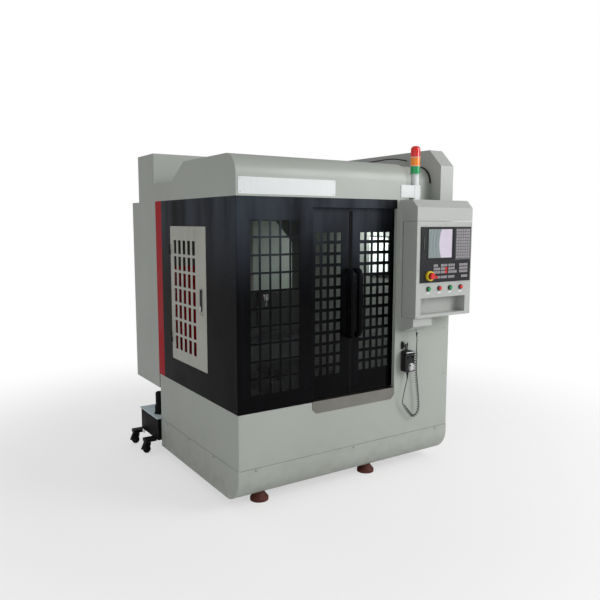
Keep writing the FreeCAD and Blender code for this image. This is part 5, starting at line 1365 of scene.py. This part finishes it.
class MACHINE_OT_tower_trim(bpy.types.Operator):
    """Rings between the lamps, and the foot's rings and screws"""
    bl_idname = "machine.tower_trim"
    bl_label = "Signal tower trim"

    def execute(self, context):
        rings = [(FOOT_RING, FOOT_RADIUS, z) for z in FOOT_RING_ZS]
        for lens in LENSES:
            low, high = corners(lens)
            rings.append((LENS_RING, (high.x - low.x) / 2, low.z - LENS_RING_DROP))
        turnings("tower_rings",
                 [([(radius + out, up) for out, up in outline],
                   Matrix.Translation((*TOWER, z)), TOWER_STEPS)
                  for outline, radius, z in rings], "white_plastic")
        screws("tower_screws", front_screws(FOOT_FACE, *FOOT_SCREWS))
        return {"FINISHED"}


# ------------------------------------------------------------ outside fittings

SLAT_LEAN, SLAT_THICK = math.radians(35), 0.0016
VENT_MIDDLE, VENT_LENGTH, VENT_REACH, VENT_OUT = 0.706, 0.246, 0.012, 0.003
VENT_LOWEST, VENT_STEP, VENT_ROWS = 0.711, 0.032, 8
GRILLE_LOW = Vector((CASING_WIDTH, 1.330, 1.400))
GRILLE_HIGH = Vector((CASING_WIDTH + 0.012, 1.530, 1.600))
GRILLE_MIDDLE, GRILLE_BAND, GRILLE_LAP = 1.430, 0.014, 0.8
GRILLE_EDGE, GRILLE_SET_BACK = 0.0015, 0.0004
GRILLE_STEP, GRILLE_ROWS, GRILLE_REACH, GRILLE_LENGTH = 0.0156, 11, 0.0135, 0.176
GRILLE_FIRST, GRILLE_OUT, MAT_INSET, MAT_THICK = 0.022, 0.0055, 0.010, 0.0008
NUT = [(0.010, 0), (0.0165, 0), (0.0165, 0.014), (0.010, 0.014)]
NUT_INSET, NUT_HEIGHT = 0.060, 0.044
# The tank's plate, from the floor below the tank's corner: low and high corner, and edge.
TANK_PLATE = (-0.0015, 0.050, 0.150), (0.0005, 0.088, 0.176), 0.0005


def slat(bm, out, y, z, size):
    """One slat on the right side, its outer edge lower."""
    block(bm, (CASING_WIDTH + out, y, z), size, Matrix.Rotation(SLAT_LEAN, 4, "Y"))


def filter_grille():
    """A square louvred grille on the rear cabinet, with the mat behind it."""
    low, high, band = GRILLE_LOW, GRILLE_HIGH, GRILLE_BAND
    lap = band * GRILLE_LAP
    bm = bmesh.new()
    for y, end in ((low.y, low.y + band), (high.y - band, high.y)):
        plate(bm, (low.x, y, low.z), (high.x, end, high.z), GRILLE_EDGE)
    for z, end in ((low.z, low.z + band), (high.z - band, high.z)):
        plate(bm, (low.x, low.y + lap, z), (high.x - GRILLE_SET_BACK, high.y - lap, end),
              GRILLE_EDGE)
    for row in range(GRILLE_ROWS):
        slat(bm, GRILLE_OUT, GRILLE_MIDDLE, low.z + GRILLE_FIRST + row * GRILLE_STEP,
             (GRILLE_REACH, GRILLE_LENGTH, SLAT_THICK))
    piece("filter_grille", bm, "panel_plastic")
    plates("filter_mat",
           [((CASING_WIDTH, low.y + MAT_INSET, low.z + MAT_INSET),
             (CASING_WIDTH + MAT_THICK, high.y - MAT_INSET, high.z - MAT_INSET))],
           "cable_rubber", "rubber")


class MACHINE_OT_outside(bpy.types.Operator):
    """Louvres of the right side, a filter grille, foot nuts and the tank's plate"""
    bl_idname = "machine.outside"
    bl_label = "Outside fittings"

    def execute(self, context):
        bm = bmesh.new()
        for row in range(VENT_ROWS):
            slat(bm, VENT_OUT, VENT_MIDDLE, VENT_LOWEST + row * VENT_STEP,
                 (VENT_REACH, VENT_LENGTH, SLAT_THICK))
        piece("side_louvres", bm, "casing_paint")
        filter_grille()
        low, high = corners("levelling_feet")
        turnings("foot_nuts", [(NUT, Matrix.Translation((x, y, NUT_HEIGHT)), 6)
                               for x in (low.x + NUT_INSET, high.x - NUT_INSET)
                               for y in (low.y + NUT_INSET, high.y - NUT_INSET)],
                 "zinc_plate")
        low = corners("coolant_tank")[0]
        plates("tank_plate", shifted(low.x, low.y, 0, [TANK_PLATE]),
               "white_plastic", "sign_white")
        return {"FINISHED"}


# ------------------------------------------------------------------------- inside

BOARD_LEFT, BOARD_RIGHT, BOARD_FACE = 0.520, 1.095, 1.212
RAIL_INSET, RAIL_HALF, RAIL_DEEP, RAIL_EDGE = 0.030, 0.0175, 0.0075, 0.001
DUCT_INSET, DUCT_LOW, DUCT_HIGH, DUCT_DEEP = 0.020, 0.058, 0.018, 0.045
UNIT_INSET, UNIT_OFF, UNIT_EDGE, LEVER_DEEP, LEVER_EDGE = 0.040, 0.008, 0.002, 0.006, 0.0015
# The board's rows: height, a unit's width, height and depth, their count, and a number
# that says which of them are pale.
SWITCH_ROWS = ((1.520, 0.042, 0.085, 0.060, 9, 0), (1.300, 0.078, 0.160, 0.120, 6, 1),
               (1.020, 0.125, 0.240, 0.170, 4, 2), (0.750, 0.016, 0.060, 0.045, 22, 0))
# The liner sheets, dark grey as painted shade inside the enclosure: left, right and foot.
SHADE_LINERS = ((0.796, 1.186, 0.585), (0.028, 0.424, 1.335))
LINER_FRONT, LINER_BACK, LINER_TOP, LINER_EDGE = 1.0765, 1.0795, 1.762, 0.001
FOLDS, FOLD_START, FOLD_STEP, FOLD_THICK = 26, 0.412, 0.0075, 0.004
FOLD_LEFT, FOLD_RIGHT, FOLD_LOW, FOLD_HIGH = 0.455, 0.765, 0.655, 0.700
LAMP_HOUSING = (1.1760, 0.138, 1.285), (1.1868, 0.340, 1.542), 0.003
LAMP_FRONT = (1.1745, 0.146, 1.294), (1.1765, 0.332, 1.533), 0.0008


class MACHINE_OT_switchgear(bpy.types.Operator):
    """Rails, ducts and plain switchgear on the board of the rear cabinet"""
    bl_idname = "machine.switchgear"
    bl_label = "Switchgear"

    def execute(self, context):
        left, right, face = BOARD_LEFT, BOARD_RIGHT, BOARD_FACE
        rails, ducts, pale, dark = [], [], [], []
        for middle, wide, tall, deep, count, first in SWITCH_ROWS:
            foot, front = middle - tall / 2, face + UNIT_OFF + deep
            rails.append(((left + RAIL_INSET, face, middle - RAIL_HALF),
                          (right - RAIL_INSET, face + RAIL_DEEP, middle + RAIL_HALF),
                          RAIL_EDGE))
            ducts.append(((left + DUCT_INSET, face, foot - DUCT_LOW),
                          (right - DUCT_INSET, face + DUCT_DEEP, foot - DUCT_HIGH), UNIT_EDGE))
            step = (right - left - 2 * UNIT_INSET) / count
            for place in range(count):
                x = left + UNIT_INSET + place * step
                held = dark if (place + first) % 3 else pale
                held.append(((x, face + UNIT_OFF, foot), (x + wide, front, foot + tall),
                             UNIT_EDGE))
                held.append(((x + wide * 0.25, front, middle - tall * 0.2),
                             (x + wide * 0.75, front + LEVER_DEEP, middle + tall * 0.2),
                             LEVER_EDGE))
        plates("switch_rails", rails, "zinc_plate")
        plates("cable_ducts", ducts, "panel_plastic", "keypad_grey")
        plates("switch_units", dark, "panel_plastic")
        plates("pale_switch_units", pale, "white_plastic")
        return {"FINISHED"}


class MACHINE_OT_inside(bpy.types.Operator):
    """Liner sheets in dark grey as painted shade, way covers and the work lamp on the inner
    right wall
    """
    bl_idname = "machine.inside"
    bl_label = "Inside"

    def execute(self, context):
        plates("rear_shade_liner",
               [((left, LINER_FRONT, foot), (right, LINER_BACK, LINER_TOP), LINER_EDGE)
                for left, right, foot in SHADE_LINERS], "casing_paint", "liner_shade_paint")
        starts = [FOLD_START + fold * FOLD_STEP for fold in range(FOLDS)]
        plates("front_bellows",
               [((FOLD_LEFT, y, FOLD_LOW), (FOLD_RIGHT, y + FOLD_THICK, FOLD_HIGH))
                for y in starts], "cable_rubber", "rubber")
        plates("lamp_housing", [LAMP_HOUSING], "zinc_plate")
        plates("lamp_front", [LAMP_FRONT], "white_plastic", "lamp_glow")
        return {"FINISHED"}


class MACHINE_PT_sidebar(bpy.types.Panel):
    """The machine's colours and sizes, and what builds its pieces"""
    bl_idname = "MACHINE_PT_sidebar"
    bl_label = "Machining center"
    bl_space_type = "VIEW_3D"
    bl_region_type = "UI"
    bl_category = "Machine"

    def draw(self, context):
        for step in STEPS:
            self.layout.operator(step.bl_idname)
        for group in (paints(), sizes()):
            for name in group.__annotations__:
                self.layout.prop(group, name)


STEPS = [MACHINE_OT_cords, MACHINE_OT_stage, MACHINE_OT_finishes,
         MACHINE_OT_casing_trim, MACHINE_OT_sign_plate, MACHINE_OT_window_seals,
         MACHINE_OT_door_trim, MACHINE_OT_side_door_trim, MACHINE_OT_console_trim,
         MACHINE_OT_console_keys, MACHINE_OT_pendant_trim, MACHINE_OT_tower_trim,
         MACHINE_OT_outside, MACHINE_OT_switchgear, MACHINE_OT_inside]
CLASSES = [MachinePaints, MachineSizes, *STEPS, MACHINE_PT_sidebar]


def register():
    for kind in CLASSES:
        bpy.utils.register_class(kind)
    bpy.types.Scene.machine_paints = bpy.props.PointerProperty(type=MachinePaints)
    bpy.types.Scene.machine_sizes = bpy.props.PointerProperty(type=MachineSizes)


def unregister():
    del bpy.types.Scene.machine_sizes
    del bpy.types.Scene.machine_paints
    for kind in reversed(CLASSES):
        bpy.utils.unregister_class(kind)


def main():
    register()
    for step in STEPS:
        family, name = step.bl_idname.split(".")
        getattr(getattr(bpy.ops, family), name)()


if __name__ == "__main__":
    main()
